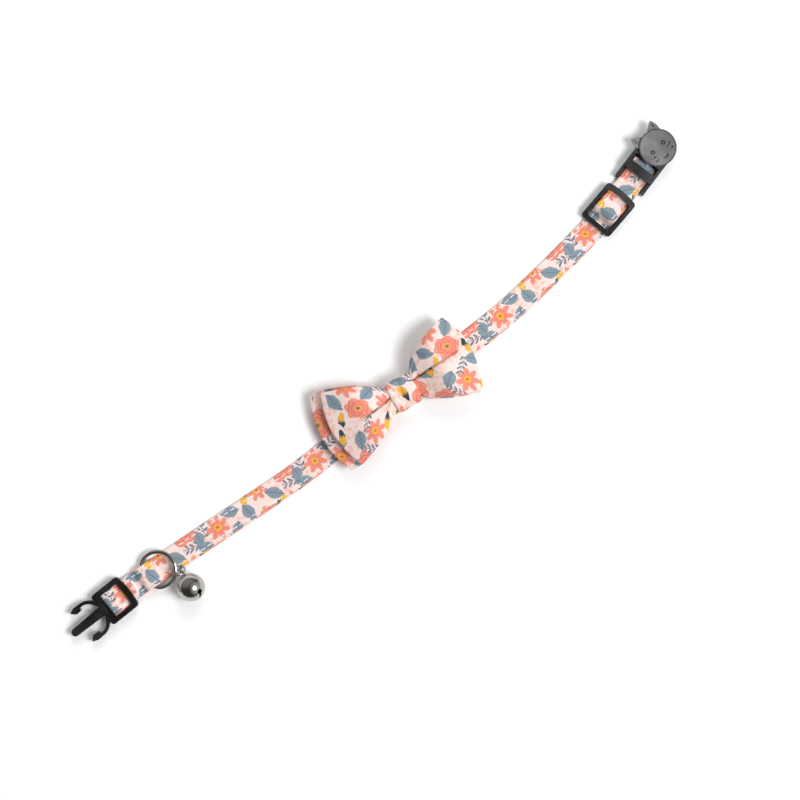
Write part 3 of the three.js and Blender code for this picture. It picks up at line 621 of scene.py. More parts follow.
def on_strap(station, across, height):
    """Points given along the strap, across it and above the table, before the part is centred."""
    station = np.asarray(station, dtype=float)
    inside = np.clip(station, 0, STRAP_RUN)
    at = np.arange(ROUTE_STEPS + 1) * route_step
    turn = heading(inside)
    x = np.interp(inside, at, route[:, 0]) + (station - inside) * np.cos(turn) - across * np.sin(turn)
    y = np.interp(inside, at, route[:, 1]) + (station - inside) * np.sin(turn) + across * np.cos(turn)
    return np.stack(np.broadcast_arrays(x, y, height), axis=-1)


# %% [markdown]
# The side line keeps the solids' levels: on the table, one cloth up, or over a bar. Each level is a
# sum of what lies under it, so a thicker cloth or bar would lift all that rests on it.

# %% Levels under the strap
GAP = 0.3  # the solids' gap between pieces that touch
FLAT = STRAP_THICK / 2
SECOND = FLAT + STRAP_THICK + GAP
BUCKLE_BAR, BUCKLE_BAR_WIDE, BUCKLE_BAR_DEEP, BUCKLE_WINDOW = -1.7, 2.2, 1.5, 8.8
THIN_BAR_DEEP = 1.2
CLASP_BAR_WIDE = 2.0
SLIDE_AT, SLIDE_LONG, SLIDE_BAR_WIDE, SLIDE_END, SLIDE_ARCH = STRAP_RUN - 20.9, 17.4, 2.2, 1.8, 3.1
BUCKLE_LEVEL = STRAP_THICK + GAP + BUCKLE_BAR_DEEP / 2
OVER_BUCKLE = BUCKLE_LEVEL + BUCKLE_BAR_DEEP / 2 + GAP + FLAT
THIN_LEVEL = STRAP_THICK + GAP + THIN_BAR_DEEP / 2
OVER_THIN = THIN_LEVEL + THIN_BAR_DEEP / 2 + GAP + FLAT
OVER_SLIDE = OVER_THIN + STRAP_THICK + GAP
D_AT, D_WIRE = 15.4, 1.7
D_LEVEL = STRAP_THICK + GAP + D_WIRE / 2
OVER_D = D_LEVEL + D_WIRE / 2 + GAP + FLAT
LOOP_WIDE, LOOP_WALL = 8.0, 0.8
ON_LOOP = LOOP_WALL + GAP + FLAT
BOW_AT = STRAP_RUN * 0.5175
print("strap over the buckle's bar at", round(OVER_BUCKLE, 2), "and the slide's at", round(OVER_SLIDE, 2))

# %% [markdown]
# A little pen walks the side line: straight on, easing from one level to the next, or turning back
# around a bar. The walk then reads as a finger would follow the strap from its hidden end.

# %% A pen for the side line
class SidePen:
    """Walks the strap's middle line as seen from the side, in millimetres."""

    def __init__(self, station, height):
        self.points = [np.array([station, height], dtype=float)]

    def line(self, station, height, step=1.2):
        start, end = self.points[-1], np.array([station, height], dtype=float)
        count = max(1, math.ceil(np.linalg.norm(end - start) / step))
        self.points += [start + (end - start) * i / count for i in range(1, count + 1)]

    def ease(self, station, height, count=14):
        start = self.points[-1]
        middle = (start[0] + station) / 2
        corners = np.array([start, (middle, start[1]), (middle, height), (station, height)], dtype=float)
        for i in range(1, count + 1):
            t = i / count
            weights = np.array([(1 - t) ** 3, 3 * t * (1 - t) ** 2, 3 * t * t * (1 - t), t ** 3])
            self.points.append(weights @ corners)

    def turn(self, station, level, side, count=14):
        radius = level - self.points[-1][1]
        for i in range(1, count + 1):
            angle = math.pi * i / count
            swing = side * math.sin(angle) * abs(radius)
            self.points.append(np.array([station + swing, level - radius * math.cos(angle)]))


# %% The strap's line from the side
D_CLIMB, D_DESCENT = 3.4, 5
LOOP_CLIMB, LOOP_REST = 6, 1
PAST_SLIDE_END, PAST_SLIDE_BAR = 0.4, 0.6
CLASP_CLIMB, TAIL = 3, 1


def strap_side_line():
    """The strap's middle line from its end near the buckle to its end at the slide."""
    buckle_turn = BUCKLE_BAR - (BUCKLE_BAR_WIDE - BUCKLE_BAR_DEEP) / 2
    slide_turn = SLIDE_AT - (SLIDE_BAR_WIDE - THIN_BAR_DEEP) / 2
    clasp_turn = STRAP_RUN + (CLASP_BAR_WIDE - THIN_BAR_DEEP) / 2
    half_loop = LOOP_WIDE / 2
    pen = SidePen(D_AT + D_WIRE / 2, FLAT)
    pen.line(buckle_turn, FLAT)
    pen.turn(buckle_turn, BUCKLE_LEVEL, -1)
    pen.line(BUCKLE_BAR + BUCKLE_BAR_WIDE - BUCKLE_BAR_DEEP, OVER_BUCKLE)
    pen.ease(BUCKLE_WINDOW / 2, SECOND)
    pen.line(D_AT - D_WIRE - D_CLIMB, SECOND)
    pen.ease(D_AT - D_WIRE / 2, OVER_D)
    pen.line(D_AT + D_WIRE / 2, OVER_D)
    pen.ease(D_AT + D_WIRE / 2 + D_DESCENT, FLAT)
    pen.line(BOW_AT - half_loop - LOOP_CLIMB, FLAT)
    pen.ease(BOW_AT - half_loop - LOOP_REST, ON_LOOP)
    pen.line(BOW_AT + half_loop + LOOP_REST, ON_LOOP)
    pen.ease(BOW_AT + half_loop + LOOP_CLIMB, FLAT)
    pen.line(SLIDE_AT - SLIDE_LONG / 2 + SLIDE_END + PAST_SLIDE_END, FLAT)
    pen.ease(SLIDE_AT - SLIDE_BAR_WIDE / 2, OVER_SLIDE)
    pen.line(SLIDE_AT + SLIDE_BAR_WIDE / 2 + PAST_SLIDE_BAR, OVER_SLIDE)
    pen.ease(SLIDE_AT + SLIDE_LONG / 2 - SLIDE_ARCH, SECOND)
    pen.line(STRAP_RUN - CLASP_BAR_WIDE / 2 - CLASP_CLIMB, SECOND)
    pen.ease(STRAP_RUN - CLASP_BAR_WIDE / 4, OVER_THIN)
    pen.line(clasp_turn, OVER_THIN)
    pen.turn(clasp_turn, THIN_LEVEL, 1)
    pen.line(slide_turn, FLAT)
    pen.turn(slide_turn, THIN_LEVEL, -1)
    pen.line(SLIDE_AT + SLIDE_BAR_WIDE / 2 + TAIL, OVER_THIN)
    return np.array(pen.points)


side_line = strap_side_line()
side_along = np.gradient(side_line, axis=0)
side_along /= np.linalg.norm(side_along, axis=1)[:, None]
side_out = np.stack([-side_along[:, 1], side_along[:, 0]], axis=1)
side_length = np.concatenate([[0], np.cumsum(np.linalg.norm(np.diff(side_line, axis=0), axis=1))])
print("strap cloth length", round(float(side_length[-1]), 1), "mm")


# %% [markdown]
# The part's origin is the middle of its box, but the strap's own line starts at the buckle. Comparing
# this line's corners with the solid strap's box gives the shift between the two.

# %% Where the solids were centred
def strap_points(row, across, lift):
    """Points on the strap by their row on the side line, their place across and their lift off it."""
    at = side_line[row] + side_out[row] * np.asarray(lift, dtype=float)[..., None]
    return on_strap(at[..., 0], across, at[..., 1])


corner_rows = np.repeat(np.arange(len(side_line)), 4)
corner_across = np.tile([1, -1, 1, -1], len(side_line)) * STRAP_WIDTH / 2
corner_lift = np.tile([1, 1, -1, -1], len(side_line)) * STRAP_THICK / 2
corners = strap_points(corner_rows, corner_across, corner_lift)
solid_low, solid_high = (np.array(corner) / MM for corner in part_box("strap"))
CENTRED = (solid_low + solid_high) / 2 - (corners.min(axis=0) + corners.max(axis=0)) / 2
CENTRED[2] = 0
print("shift to the part's origin", CENTRED.round(2))

# %% [markdown]
# The band's section is a thin slab with round rims and a shallow valley under each row of stitches.
# Its map runs along the cloth's real length and around the section.

# %% Strap mesh
VALLEY_DEEP, VALLEY_WIDE, BESIDE_SEAM, SKIN = 0.13, 0.45, 0.5, 0.02
SHADE_STRAP = 50


def hump(x, middle, width):
    """1 at the middle, falling off softly on both sides."""
    return np.exp(-(((x - middle) / width) ** 2))


def face_outward(obj):
    """Turns the faces of a new closed mesh outward."""
    only(obj)
    bpy.ops.object.mode_set(mode="EDIT")
    bpy.ops.mesh.select_all(action="SELECT")
    bpy.ops.mesh.normals_make_consistent(inside=False)
    bpy.ops.object.mode_set(mode="OBJECT")
    return obj


def strap_section():
    """Section points as (across, lift), around the slab from one rim over the top and back below."""
    half, rim = STRAP_WIDTH / 2, STRAP_THICK / 2
    border = np.linspace(SEAM + BESIDE_SEAM, half - rim, 3)
    middle = np.linspace(-SEAM + BESIDE_SEAM, SEAM - BESIDE_SEAM, 8)
    across = np.concatenate([-border[::-1], [-SEAM], middle, [SEAM], border])
    valley = VALLEY_DEEP * hump(np.abs(across), SEAM, VALLEY_WIDE)
    top = np.stack([across, rim - valley - SKIN], axis=1)
    bottom = top[::-1] * [1, -1]
    angles = np.linspace(math.pi / 2, -math.pi / 2, 6)[1:-1]
    right = np.stack([half - rim + rim * np.cos(angles), rim * np.sin(angles)], axis=1)
    left = -right
    return np.concatenate([top, right, bottom, left])


def build_strap():
    """The section swept along the side line, with a closed face at each end."""
    section = strap_section()
    count, rows = len(section), len(side_line)
    sides = np.diff(section, axis=0, append=section[:1])
    ring = np.concatenate([[0], np.cumsum(np.linalg.norm(sides, axis=1))])
    grid_rows = np.repeat(np.arange(rows), count)
    across = np.tile(section[:, 0], rows)
    lift = np.tile(section[:, 1], rows)
    points = strap_points(grid_rows, across, lift) + CENTRED
    faces, uvs = [], []
    for i in range(rows - 1):
        for j in range(count):
            k = (j + 1) % count
            faces.append((i * count + j, i * count + k, (i + 1) * count + k, (i + 1) * count + j))
            u0, u1 = side_length[i], side_length[i + 1]
            uvs += [(u0, ring[j]), (u0, ring[j + 1]), (u1, ring[j + 1]), (u1, ring[j])]
    for row, order in ((0, 1), (rows - 1, -1)):
        faces.append(tuple(row * count + j for j in range(count))[::order])
        uvs += [(side_length[row] + section[j][1], ring[j]) for j in range(count)][::order]
    strap = face_outward(mesh_piece("strap_band", points, faces, uvs))
    return smooth(wear(strap, strap_cloth), SHADE_STRAP)


strap = carry(build_strap(), "strap_cloth", "strap")

# %% [markdown]
# ## The stitching
#
# Two rows of white thread hold the cloth's folded edges down. One stitch is modelled once, as a
# short thread that dives in at both ends, and laid along each row by copying its points.

# %% Thread and stitches
thread, g, shader = new_material("white_thread")
spot = g.spot()
ply = g.add("ShaderNodeTexWave", wave_type="BANDS", bands_direction="DIAGONAL")
tune(ply, Scale=900)
g.plug(ply.inputs["Vector"], spot)
# Its darker bands are painted shade in the grooves between the plies, beside their bump.
g.plug(shader.inputs["Base Color"], g.blend(ply.outputs["Fac"], (0.82, 0.8, 0.78, 1), (0.97, 0.96, 0.95, 1)))
g.plug(shader.inputs["Normal"], g.bump(ply.outputs["Fac"], 0.05 * MM, 0.5))
tune(shader, Roughness=0.55, Sheen_Weight=0.2)

STITCH, STITCH_PITCH, THREAD = 2.1, 3.0, 0.36
STITCH_ARCH, STITCH_DIVE, STITCH_SUNK = 0.08, 0.24, 0.15
FIRST_STITCH, STOP_SHORT = 20.5, 5
SHADE_THREAD = 60
side_top = 1 if side_out[len(side_out) // 2][1] > 0 else -1


def stitch_shape():
    """One stitch as a primitive cylinder, bowed up in the middle: points (along, across, lift)."""
    bpy.ops.object.select_all(action="DESELECT")
    lying = (0, math.pi / 2, 0)
    bpy.ops.mesh.primitive_cylinder_add(vertices=6, radius=THREAD / 2, depth=STITCH, rotation=lying)
    one = bpy.context.active_object
    bpy.ops.object.transform_apply(rotation=True)
    bpy.ops.object.mode_set(mode="EDIT")
    bpy.ops.mesh.select_all(action="SELECT")
    bpy.ops.mesh.bisect(plane_co=(STITCH / 3, 0, 0), plane_no=(1, 0, 0))
    bpy.ops.mesh.select_all(action="SELECT")
    bpy.ops.mesh.bisect(plane_co=(-STITCH / 3, 0, 0), plane_no=(1, 0, 0))
    bpy.ops.object.mode_set(mode="OBJECT")
    points = np.array([v.co[:] for v in one.data.vertices])
    points[:, 2] += STITCH_ARCH - STITCH_DIVE * (np.abs(points[:, 0]) / (STITCH / 2)) ** 2.5
    faces = [tuple(p.vertices) for p in one.data.polygons]
    bpy.data.objects.remove(one)
    return points, faces


def sewn(name, laid, shape_faces):
    """One piece of thread from the points of all its laid stitches."""
    size = len(laid[0])
    faces = [tuple(i * size + v for v in face) for i in range(len(laid)) for face in shape_faces]
    return smooth(wear(mesh_piece(name, np.concatenate(laid), faces), thread), SHADE_THREAD)


def stitch_rows():
    """Both rows, on the strap's upper run."""
    shape, shape_faces = stitch_shape()
    laid = []
    top = STRAP_THICK / 2 - STITCH_SUNK + THREAD * 0.35
    last = side_length[int(np.argmax(side_line[:, 0]))] - STOP_SHORT
    for start in np.arange(FIRST_STITCH, last, STITCH_PITCH):
        for side in (-1, 1):
            along = start + STITCH / 2 + shape[:, 0]
            station = np.interp(along, side_length, side_line[:, 0])
            height = np.interp(along, side_length, side_line[:, 1])
            out_x = np.interp(along, side_length, side_out[:, 0])
            out_z = np.interp(along, side_length, side_out[:, 1])
            lift = side_top * (top + shape[:, 2])
            at = on_strap(station + out_x * lift, side * SEAM + shape[:, 1], height + out_z * lift)
            laid.append(at + CENTRED)
    return sewn("strap_stitches", laid, shape_faces)


stitches = carry(stitch_rows(), "strap_cloth")

# %% [markdown]
# ## The bar tack
#
# Near the buckle half the fold is locked by a dense bar of the same thread, sewn side by side across
# the strap. Each thread of it is the same stitch, made smaller.

# %% Bar tack
TACK_AT, TACK_WIDE, TACK_PITCH = 8.9, 4.8, 0.31
TACK_OF_STITCH = (0.4, 0.9, 0.7)  # shares of a stitch's length, width and height


def bar_tack():
    """A dense row of small stitches across the strap's upper layer."""
    shape, shape_faces = stitch_shape()
    shape = shape * TACK_OF_STITCH
    laid = []
    top = STRAP_THICK / 2 + THREAD * 0.2
    lower_layer = side_line[:, 1] < FLAT + 0.2
    row = int(np.argmin(np.where(lower_layer, np.inf, np.abs(side_line[:, 0] - TACK_AT))))
    count = int(TACK_WIDE / TACK_PITCH)
    for i in range(count):
        across = (i - (count - 1) / 2) * TACK_PITCH
        station = side_line[row, 0] + shape[:, 0]
        height = side_line[row, 1] + top + shape[:, 2]
        laid.append(on_strap(station, across + shape[:, 1], height) + CENTRED)
    return sewn("bar_tack", laid, shape_faces)


tack = carry(bar_tack(), "strap_cloth")

# %% [markdown]
# ## The bow's two loops
#
# The bow is two flattened tubes of printed cotton, one on the other, pinched in the middle. The end
# folds bow outward, the wings open fast from the knot, and a deep pleat runs along each wing, with
# its upper lip lapping over the lower. A grid wrapped around each tube is shaped by these rules. All
# shares run from 0 at the knot to 1 at a wing's end.

# %% Bow sizes and levels
BOW_CENTRE = (on_strap(BOW_AT, 0, 0) + CENTRED)[:2]
BOW_TURN = -0.17
BOW_LENGTH, BOW_HEIGHT, BOW_WAIST = 55.0, 32.0, 9.0
BACK_LENGTH, BACK_HEIGHT, BACK_SHIFT, BACK_TURN = 58.5, BOW_HEIGHT + 1, -2.9, BOW_TURN - 0.02
END_BULGE, RIGHT_RISE = 3.9, 1.7
LEFT_SPREAD, RIGHT_SPREAD = 0.6, 0.5
WAIST_LONG, KNOT_HIGH = 9.0, 12.6
WALL = 1.0  # the solids' cloth
KNOT_FLOOR = ON_LOOP + FLAT + GAP + LOOP_WALL + GAP
BACK_FLOOR = KNOT_FLOOR + WALL + GAP
LAYER_WAIST = 2 * WALL + GAP
WAIST_END = WAIST_LONG / BOW_LENGTH + 0.06
BETWEEN_LAYERS, BACK_PLUMP, FRONT_PLUMP = 0.6, 2.0, 3.4


def smoothstep(x, low, high):
    """0 below low, 1 above high, and an S between them."""
    t = np.clip((np.asarray(x, dtype=float) - low) / (high - low), 0, 1)
    return t * t * (3 - 2 * t)


def swell(share):
    """How full a wing is, from the knot to its end."""
    return smoothstep(share, WAIST_END, 0.62) * (1 - 0.55 * smoothstep(share, 0.6, 1.05))


def back_floor(share):
    return BACK_FLOOR + 0 * share


def back_top(share):
    return BACK_FLOOR + LAYER_WAIST + BACK_PLUMP * swell(share)


def front_floor(share):
    return back_top(share) + BETWEEN_LAYERS


def front_top(share):
    return front_floor(share) + LAYER_WAIST + FRONT_PLUMP * swell(share)


print("bow layers at the knot:", round(BACK_FLOOR, 2), "to", round(float(front_top(0)), 2), "mm")

# %% [markdown]
# ### Wrapping a cloth tube
#
# Both loops and the knot are grids closed around one direction. Their map is measured on the finished
# shape, along the cloth, so that the print keeps its size wherever the cloth goes.

# %% Tube helpers
def turned(x, y, angle):
    """Places a flat pattern on the strap, turned about the bow's centre."""
    cosine, sine = math.cos(angle), math.sin(angle)
    return x * cosine - y * sine + BOW_CENTRE[0], x * sine + y * cosine + BOW_CENTRE[1]


def run_around(points):
    """The cloth's length from the first row to each row, once around."""
    steps = np.linalg.norm(np.roll(points, -1, axis=0) - points, axis=2)
    return np.concatenate([np.zeros((1, points.shape[1])), np.cumsum(steps, axis=0)])


def cloth_wall(obj, thickness):
    """Gives a bare surface its thickness, inward, and applies it."""
    wall = obj.modifiers.new("wall", "SOLIDIFY")
    wall.thickness = thickness * MM
    wall.offset = -1
    return apply_all(obj)


def tube_piece(name, points, map_at):
    """A mesh from a grid that closes around its first direction. map_at(row, ring, column, strip)
    maps a corner: row counts on past the join, where ring starts again, and strip is the face's."""
    around, across = points.shape[:2]
    faces, uvs = [], []
    for i in range(around):
        n = (i + 1) % around
        for j in range(across - 1):
            faces.append((i * across + j, n * across + j, n * across + j + 1, i * across + j + 1))
            uvs += [map_at(i, i, j, j), map_at(i + 1, n, j, j)]
            uvs += [map_at(i + 1, n, j + 1, j), map_at(i, i, j + 1, j)]
    return face_outward(mesh_piece(name, points.reshape(-1, 3), faces, uvs))


# %% [markdown]
# ### The pleat
#
# Across the pleat the cloth sinks into a groove and swells into a lip on one side, which leans over
# the groove. On the left wing both fade before the end; on the right wing the pleat runs almost to
# it. The lobes on both sides of a deeper pleat are plumper.

# %% Wing and pleat
LIP_RISE, LIP_LEAN, LOBE_PLUMP = 0.22, 0.5, 0.3


def wing_half(flat_x, share, height):
    """Half the cloth's height along the bow, from the waist to the open ends."""
    spread = np.where(flat_x < 0, LEFT_SPREAD, RIGHT_SPREAD)
    opened = np.clip((share - WAIST_END) / (1 - WAIST_END), 0, 1) ** spread
    return BOW_WAIST / 2 + (height - BOW_WAIST) / 2 * opened


def pleat_shape(flat_x, v, share, from_line, on_top, pleat):
    """What the pleat adds to the height of the top, and how far its lip leans over."""
    left_end = smoothstep(share, 0.5, 0.9)
    right_end = 0.8 * smoothstep(share, 0.72, 1.0)
    fade = smoothstep(share, 0.12, 0.24) * (1 - np.where(flat_x < 0, left_end, right_end))
    lip_side = from_line > 0
    groove = np.where(lip_side, hump(from_line, 0, 0.32), hump(from_line, 0, 0.85))
    lip = np.where(lip_side, hump(from_line, 1.0, 0.7), 0)
    lobes = 1 - (2 * np.abs(v) - 1) ** 2
    plump = LOBE_PLUMP * lobes * (0.35 + fade) * (share > 0.16)
    added = on_top * pleat * (LIP_RISE * fade * lip + plump - fade * groove)
    return added, on_top * LIP_LEAN * pleat * fade * lip


# %% [markdown]
# ### Gathers and waves
#
# Near the knot the cloth is pulled into small gathers, which die out along the wing. Farther out it
# lies in slow waves, as soft cotton does, and its long edges sink toward the tube's underside.

# %% Gathers and waves
GATHER_DEEP, WAVE_DEEP, BORDER_SINK = 0.22, 0.16, 0.35


def gathered(z, low, x, v, along, share, on_top):
    """The height with the small folds laid over it."""
    pulls = smoothstep(share, 0.14, 0.26) * (1 - smoothstep(share, 0.3, 0.72))
    gathers = np.cos(v * 13 + 0.8 * np.sign(along)) + 0.6 * np.cos(v * 21 + 2.1)
    waves = np.sin(x / 6.1 + 1.3 * v) * np.sin(v * 4.3 + 0.7) + 0.6 * np.sin(x / 3.3 - v * 6)
    z = z + on_top * GATHER_DEEP * pulls * gathers * (1 - v ** 8)
    z = z + WAVE_DEEP * waves * smoothstep(share, 0.3, 0.8)
    return z - on_top * (z - low) * BORDER_SINK * np.abs(v) ** 6 * smoothstep(share, 0.2, 0.5)


# %% [markdown]
# ### The loop itself
#
# The print has to look right along the pleat too. Each lobe's map is measured from its own outer
# edge, so the cloth between the two lobes is what the pleat swallows. Toward the wing's end the two
# maps are eased together.

# %% Bow tube
AROUND, ACROSS, CROWDING = 176, 45, 1.35  # columns crowd toward the pleat
PAST_END = 1.08  # the most that a share may reach, on the longer back layer
BOW_CLOTH = 0.8
SHADE_CLOTH = 55


def bow_tube(name, length, height, shift, turn, floor, top, parts, pleat, creases, cloth):
    """A flattened tube. parts shifts its underside and top near the ends, where the two layers part.
    creases are (station, offset) pairs of the pleat line, in millimetres."""
    angle = np.linspace(-math.pi / 2, 1.5 * math.pi, AROUND, endpoint=False)[:, None]
    even = np.linspace(-1, 1, ACROSS)[None, :]
    v = np.sign(even) * np.abs(even) ** CROWDING
    along = np.cos(angle)
    reach = np.abs(along)
    flat_x = along * length / 2 + shift * reach
    share = np.minimum(np.abs(flat_x) / (BOW_LENGTH / 2), PAST_END)

    half = wing_half(flat_x, share, height)
    x = flat_x + np.sign(along) * END_BULGE * (1 - v ** 2) * reach ** 3
    rise = smoothstep(flat_x / (BOW_LENGTH / 2), 0.12, 0.45) * RIGHT_RISE
    line = np.interp(flat_x, [s for s, _ in creases], [o for _, o in creases])
    from_line = v * (half - np.sign(v) * line)

    parting = smoothstep(share, 0.72, 1)
    low, high = floor(share) + parts[0] * parting, top(share) + parts[1] * parting
    closing = np.sign(np.sin(angle)) * np.sqrt(np.clip(1 - reach ** 9, 0, 1))
    flat_z = (low + high) / 2 + closing * (high - low) / 2 + 0 * v
    on_top = smoothstep(np.sin(angle), 0.0, 0.2)
    pleated, lean = pleat_shape(flat_x, v, share, from_line, on_top, pleat)
    z = gathered(flat_z + pleated, low, x, v, along, share, on_top)
    row_x, row_y = turned(x, rise + line + from_line - lean, turn)
    points = np.stack(np.broadcast_arrays(row_x, row_y, z), axis=-1)

    run = run_around(points)
    run -= run[AROUND // 2]
    swallowed = height / 2 - half
    eased = smoothstep(share, 0.3, 0.8)

    def cloth_map(row, ring, column, strip):
        lobe = 1 if even[0, strip] + even[0, strip + 1] > 0 else -1
        near = min(abs(v[0, column]) / 0.7, 1)
        pull = lobe * (1 - (1 - near) * eased[ring, 0])
        return run[row, column], line[ring, 0] + from_line[ring, column] + pull * swallowed[ring, 0]

    tube = cloth_wall(tube_piece(name, points, cloth_map), BOW_CLOTH)
    return smooth(wear(tube, cloth), SHADE_CLOTH), float(run[-1].mean() - run[0].mean())


# %% [markdown]
# The back layer is longer, sits toward the left and has hardly a pleat, because it is held flat by the
# front one. The front layer's ends lift a little off it.

# %% Both layers
BACK_CREASES = [(-30, 0), (30, 0)]
FRONT_CREASES = [
    (-28, 0.3), (-17, -0.5), (-10, 0.2), (-5, 1.2), (5, 2.6), (10, 1.5), (15, 1.6), (27, 2.2),
]

bow_back, back_run = bow_tube(
    "bow_back_loop", BACK_LENGTH, BACK_HEIGHT, BACK_SHIFT, BACK_TURN, back_floor, back_top,
    parts=(0, -0.9), pleat=0.3, creases=BACK_CREASES, cloth=back_cloth,
)
bow_front, front_run = bow_tube(
    "bow_front_loop", BOW_LENGTH, BOW_HEIGHT, 0, BOW_TURN, front_floor, front_top,
    parts=(0.8, -0.5), pleat=1.7, creases=FRONT_CREASES, cloth=front_cloth,
)
carry(bow_back, "bow_cloth", "bow_back")
carry(bow_front, "bow_cloth", "bow_front")
print("cloth around the front loop", round(front_run, 1), "and the back loop", round(back_run, 1), "mm")

# %% [markdown]
# ## The knot
#
# A narrower strip wrapped once around both loops. Its long edges are turned under, which rounds its
# rims, and being pulled tight it has a few slanting wrinkles.

# %% Knot
KNOT_WIDE = 10.8
KNOT_AROUND, KNOT_ACROSS = 96, 25
KNOT_CLOTH, KNOT_SLACK = 0.7, 0.5
RIM_TUCK, WRINKLE_DEEP, KNOT_WAVE = 0.75, 0.75, 0.15


def build_knot():
    """The band, and the length of cloth once around it."""
    angle = np.linspace(-math.pi / 2, 1.5 * math.pi, KNOT_AROUND, endpoint=False)[:, None]
    v = np.sin(np.linspace(-math.pi / 2, math.pi / 2, KNOT_ACROSS))[None, :]
    cosine, sine = np.cos(angle), np.sin(angle)
    floor, roof = KNOT_FLOOR, float(front_top(0)) + GAP + WALL + KNOT_SLACK
    rim = RIM_TUCK * np.abs(v) ** 7
    crease = hump(v - 0.28 * cosine, -0.12, 0.1) + 0.7 * hump(v + 0.55 + 0.3 * cosine, 0, 0.09)
    wave = KNOT_WAVE * np.sin(5 * v + 2.5 * cosine)
    lift = -rim - WRINKLE_DEEP * crease * np.clip(sine, 0, 1) + wave
    half_y = KNOT_HIGH / 2 + lift * np.abs(cosine)
    half_z = (roof - floor) / 2 + lift * np.abs(sine) * (sine > 0)
    x = v * KNOT_WIDE / 2 * (1 - 0.05 * np.abs(cosine)) + 0.25 * sine
    y = np.sign(cosine) * np.abs(cosine) ** 0.5 * half_y
    z = (roof + floor) / 2 + np.sign(sine) * np.abs(sine) ** 0.5 * half_z
    row_x, row_y = turned(x, y + 0 * v, BOW_TURN)
    points = np.stack(np.broadcast_arrays(row_x, row_y, z), axis=-1)
    run = run_around(points)

    def cloth_map(row, ring, column, strip):
        return v[0, column] * KNOT_WIDE / 2, run[row, column]

    band = cloth_wall(tube_piece("bow_knot_band", points, cloth_map), KNOT_CLOTH)
    return smooth(wear(band, knot_cloth), SHADE_CLOTH), float(run[-1].mean())


knot, knot_run = build_knot()
carry(knot, "bow_cloth", "bow_knot")
print("cloth around the knot", round(knot_run, 1), "mm")


# %% [markdown]
# ## Pieces that keep their solid's shape
#
# The moulded and bent parts are already right in the solids, only too sharp. Each one's triangles are
# copied, welded into whole faces, and their edges rounded a little, as a mould leaves them. The
# large flat faces then set the shading, so that they stay flat right up to the rounded edge.

# %% Rounded copies
WELD = 0.002 * MM
SAME_PLANE = math.radians(1.2)
SHADE_PLASTIC = 38


def copy_of(node, name, flat_faces=True):
    """A welded copy of a solid's mesh, its flat areas joined into whole faces unless it is all round."""
    source = bpy.data.objects[node]
    mesh = source.data.copy()
    mesh.transform(source.matrix_world)
    obj = bpy.data.objects.new(name, mesh)
    scene.collection.objects.link(obj)
    only(obj)
    bpy.ops.object.mode_set(mode="EDIT")
    bpy.ops.mesh.select_all(action="SELECT")
    bpy.ops.mesh.remove_doubles(threshold=WELD)
    if flat_faces:
        bpy.ops.mesh.dissolve_limited(angle_limit=SAME_PLANE)
    else:
        bpy.ops.mesh.tris_convert_to_quads()
    bpy.ops.mesh.normals_make_consistent(inside=False)
    bpy.ops.object.mode_set(mode="OBJECT")
    return obj


def rounded(node, name, radius, corner=40, segments=3):
    """A copy whose edges sharper than corner, in degrees, are rounded."""
    obj = copy_of(node, name)
    edge = obj.modifiers.new("round", "BEVEL")
    edge.width = radius * MM
    edge.segments = segments
    edge.limit_method = "ANGLE"
    edge.angle_limit = math.radians(corner)
    edge.use_clamp_overlap = True
    apply_all(obj)
    smooth(obj, SHADE_PLASTIC)
    level = obj.modifiers.new("flat_faces", "WEIGHTED_NORMAL")
    level.weight = 100
    level.keep_sharp = True
    return apply_all(obj)


# %% [markdown]
# ## Black plastic
#
# The buckle half, slide and clasp are injection moulded. The black is satin, with a fine moulded
# grain and patches that are a little lighter and glossier. The slide and clasp wear a lighter copy of
# the same black, whose paler patches are painted sheen for the highlights on their bars, and the
# cat's face is a lighter grey, painted light on its tops, with a painted dark rim of shade.

# %% Plastic
RIM_PAINTED_SHADE = (0.006, 0.006, 0.0065, 1)


def plastic(name, dark, light, roughness, rim=None):
    """Satin plastic between two tones. rim is the middle and the radii, in metres, of a ring of painted
    shade.
    """
    material, g, shader = new_material(name)
    spot = g.spot()
    patches = g.noise(spot, 95, detail=3)
    grain = g.noise(spot, 4200, detail=2)
    tone = g.blend(g.ramp(patches, 0.36, 0.64), dark, light)
    if rim:
        middle, inside, outside = rim
        # A ring just inside the face's edge is painted near black: painted shade at the disc's rim.
        from_middle = g.vector("MULTIPLY", g.vector("SUBTRACT", spot, middle), (1, 1, 0))
        far = g.vector("LENGTH", from_middle)
        ring = g.math("MULTIPLY", g.ramp(far, inside, inside + 0.1 * MM), g.math("LESS_THAN", far, outside))
        tone = g.blend(g.math("MULTIPLY", ring, 0.75), tone, RIM_PAINTED_SHADE)
    g.plug(shader.inputs["Base Color"], tone)
    g.plug(shader.inputs["Roughness"], g.ramp(patches, 0.3, 0.7, roughness - 0.06, roughness + 0.08))
    g.plug(shader.inputs["Normal"], g.bump(grain, 0.02 * MM, 0.5))
    tune(shader, Specular_IOR_Level=0.6)
    return material


def grey(depth, blue=0.0005):
    """A near-neutral grey for the dark plastics."""
    return (depth, depth, depth + blue, 1)


black = plastic("black_plastic", grey(0.005), grey(0.011), 0.27)
# A lighter copy of the same black: its paler patches are painted sheen standing in for highlights on the
# slide's and clasp's bars.
painted_sheen_black = plastic("rubbed_black_plastic", grey(0.003), grey(0.016, 0.001), 0.27)
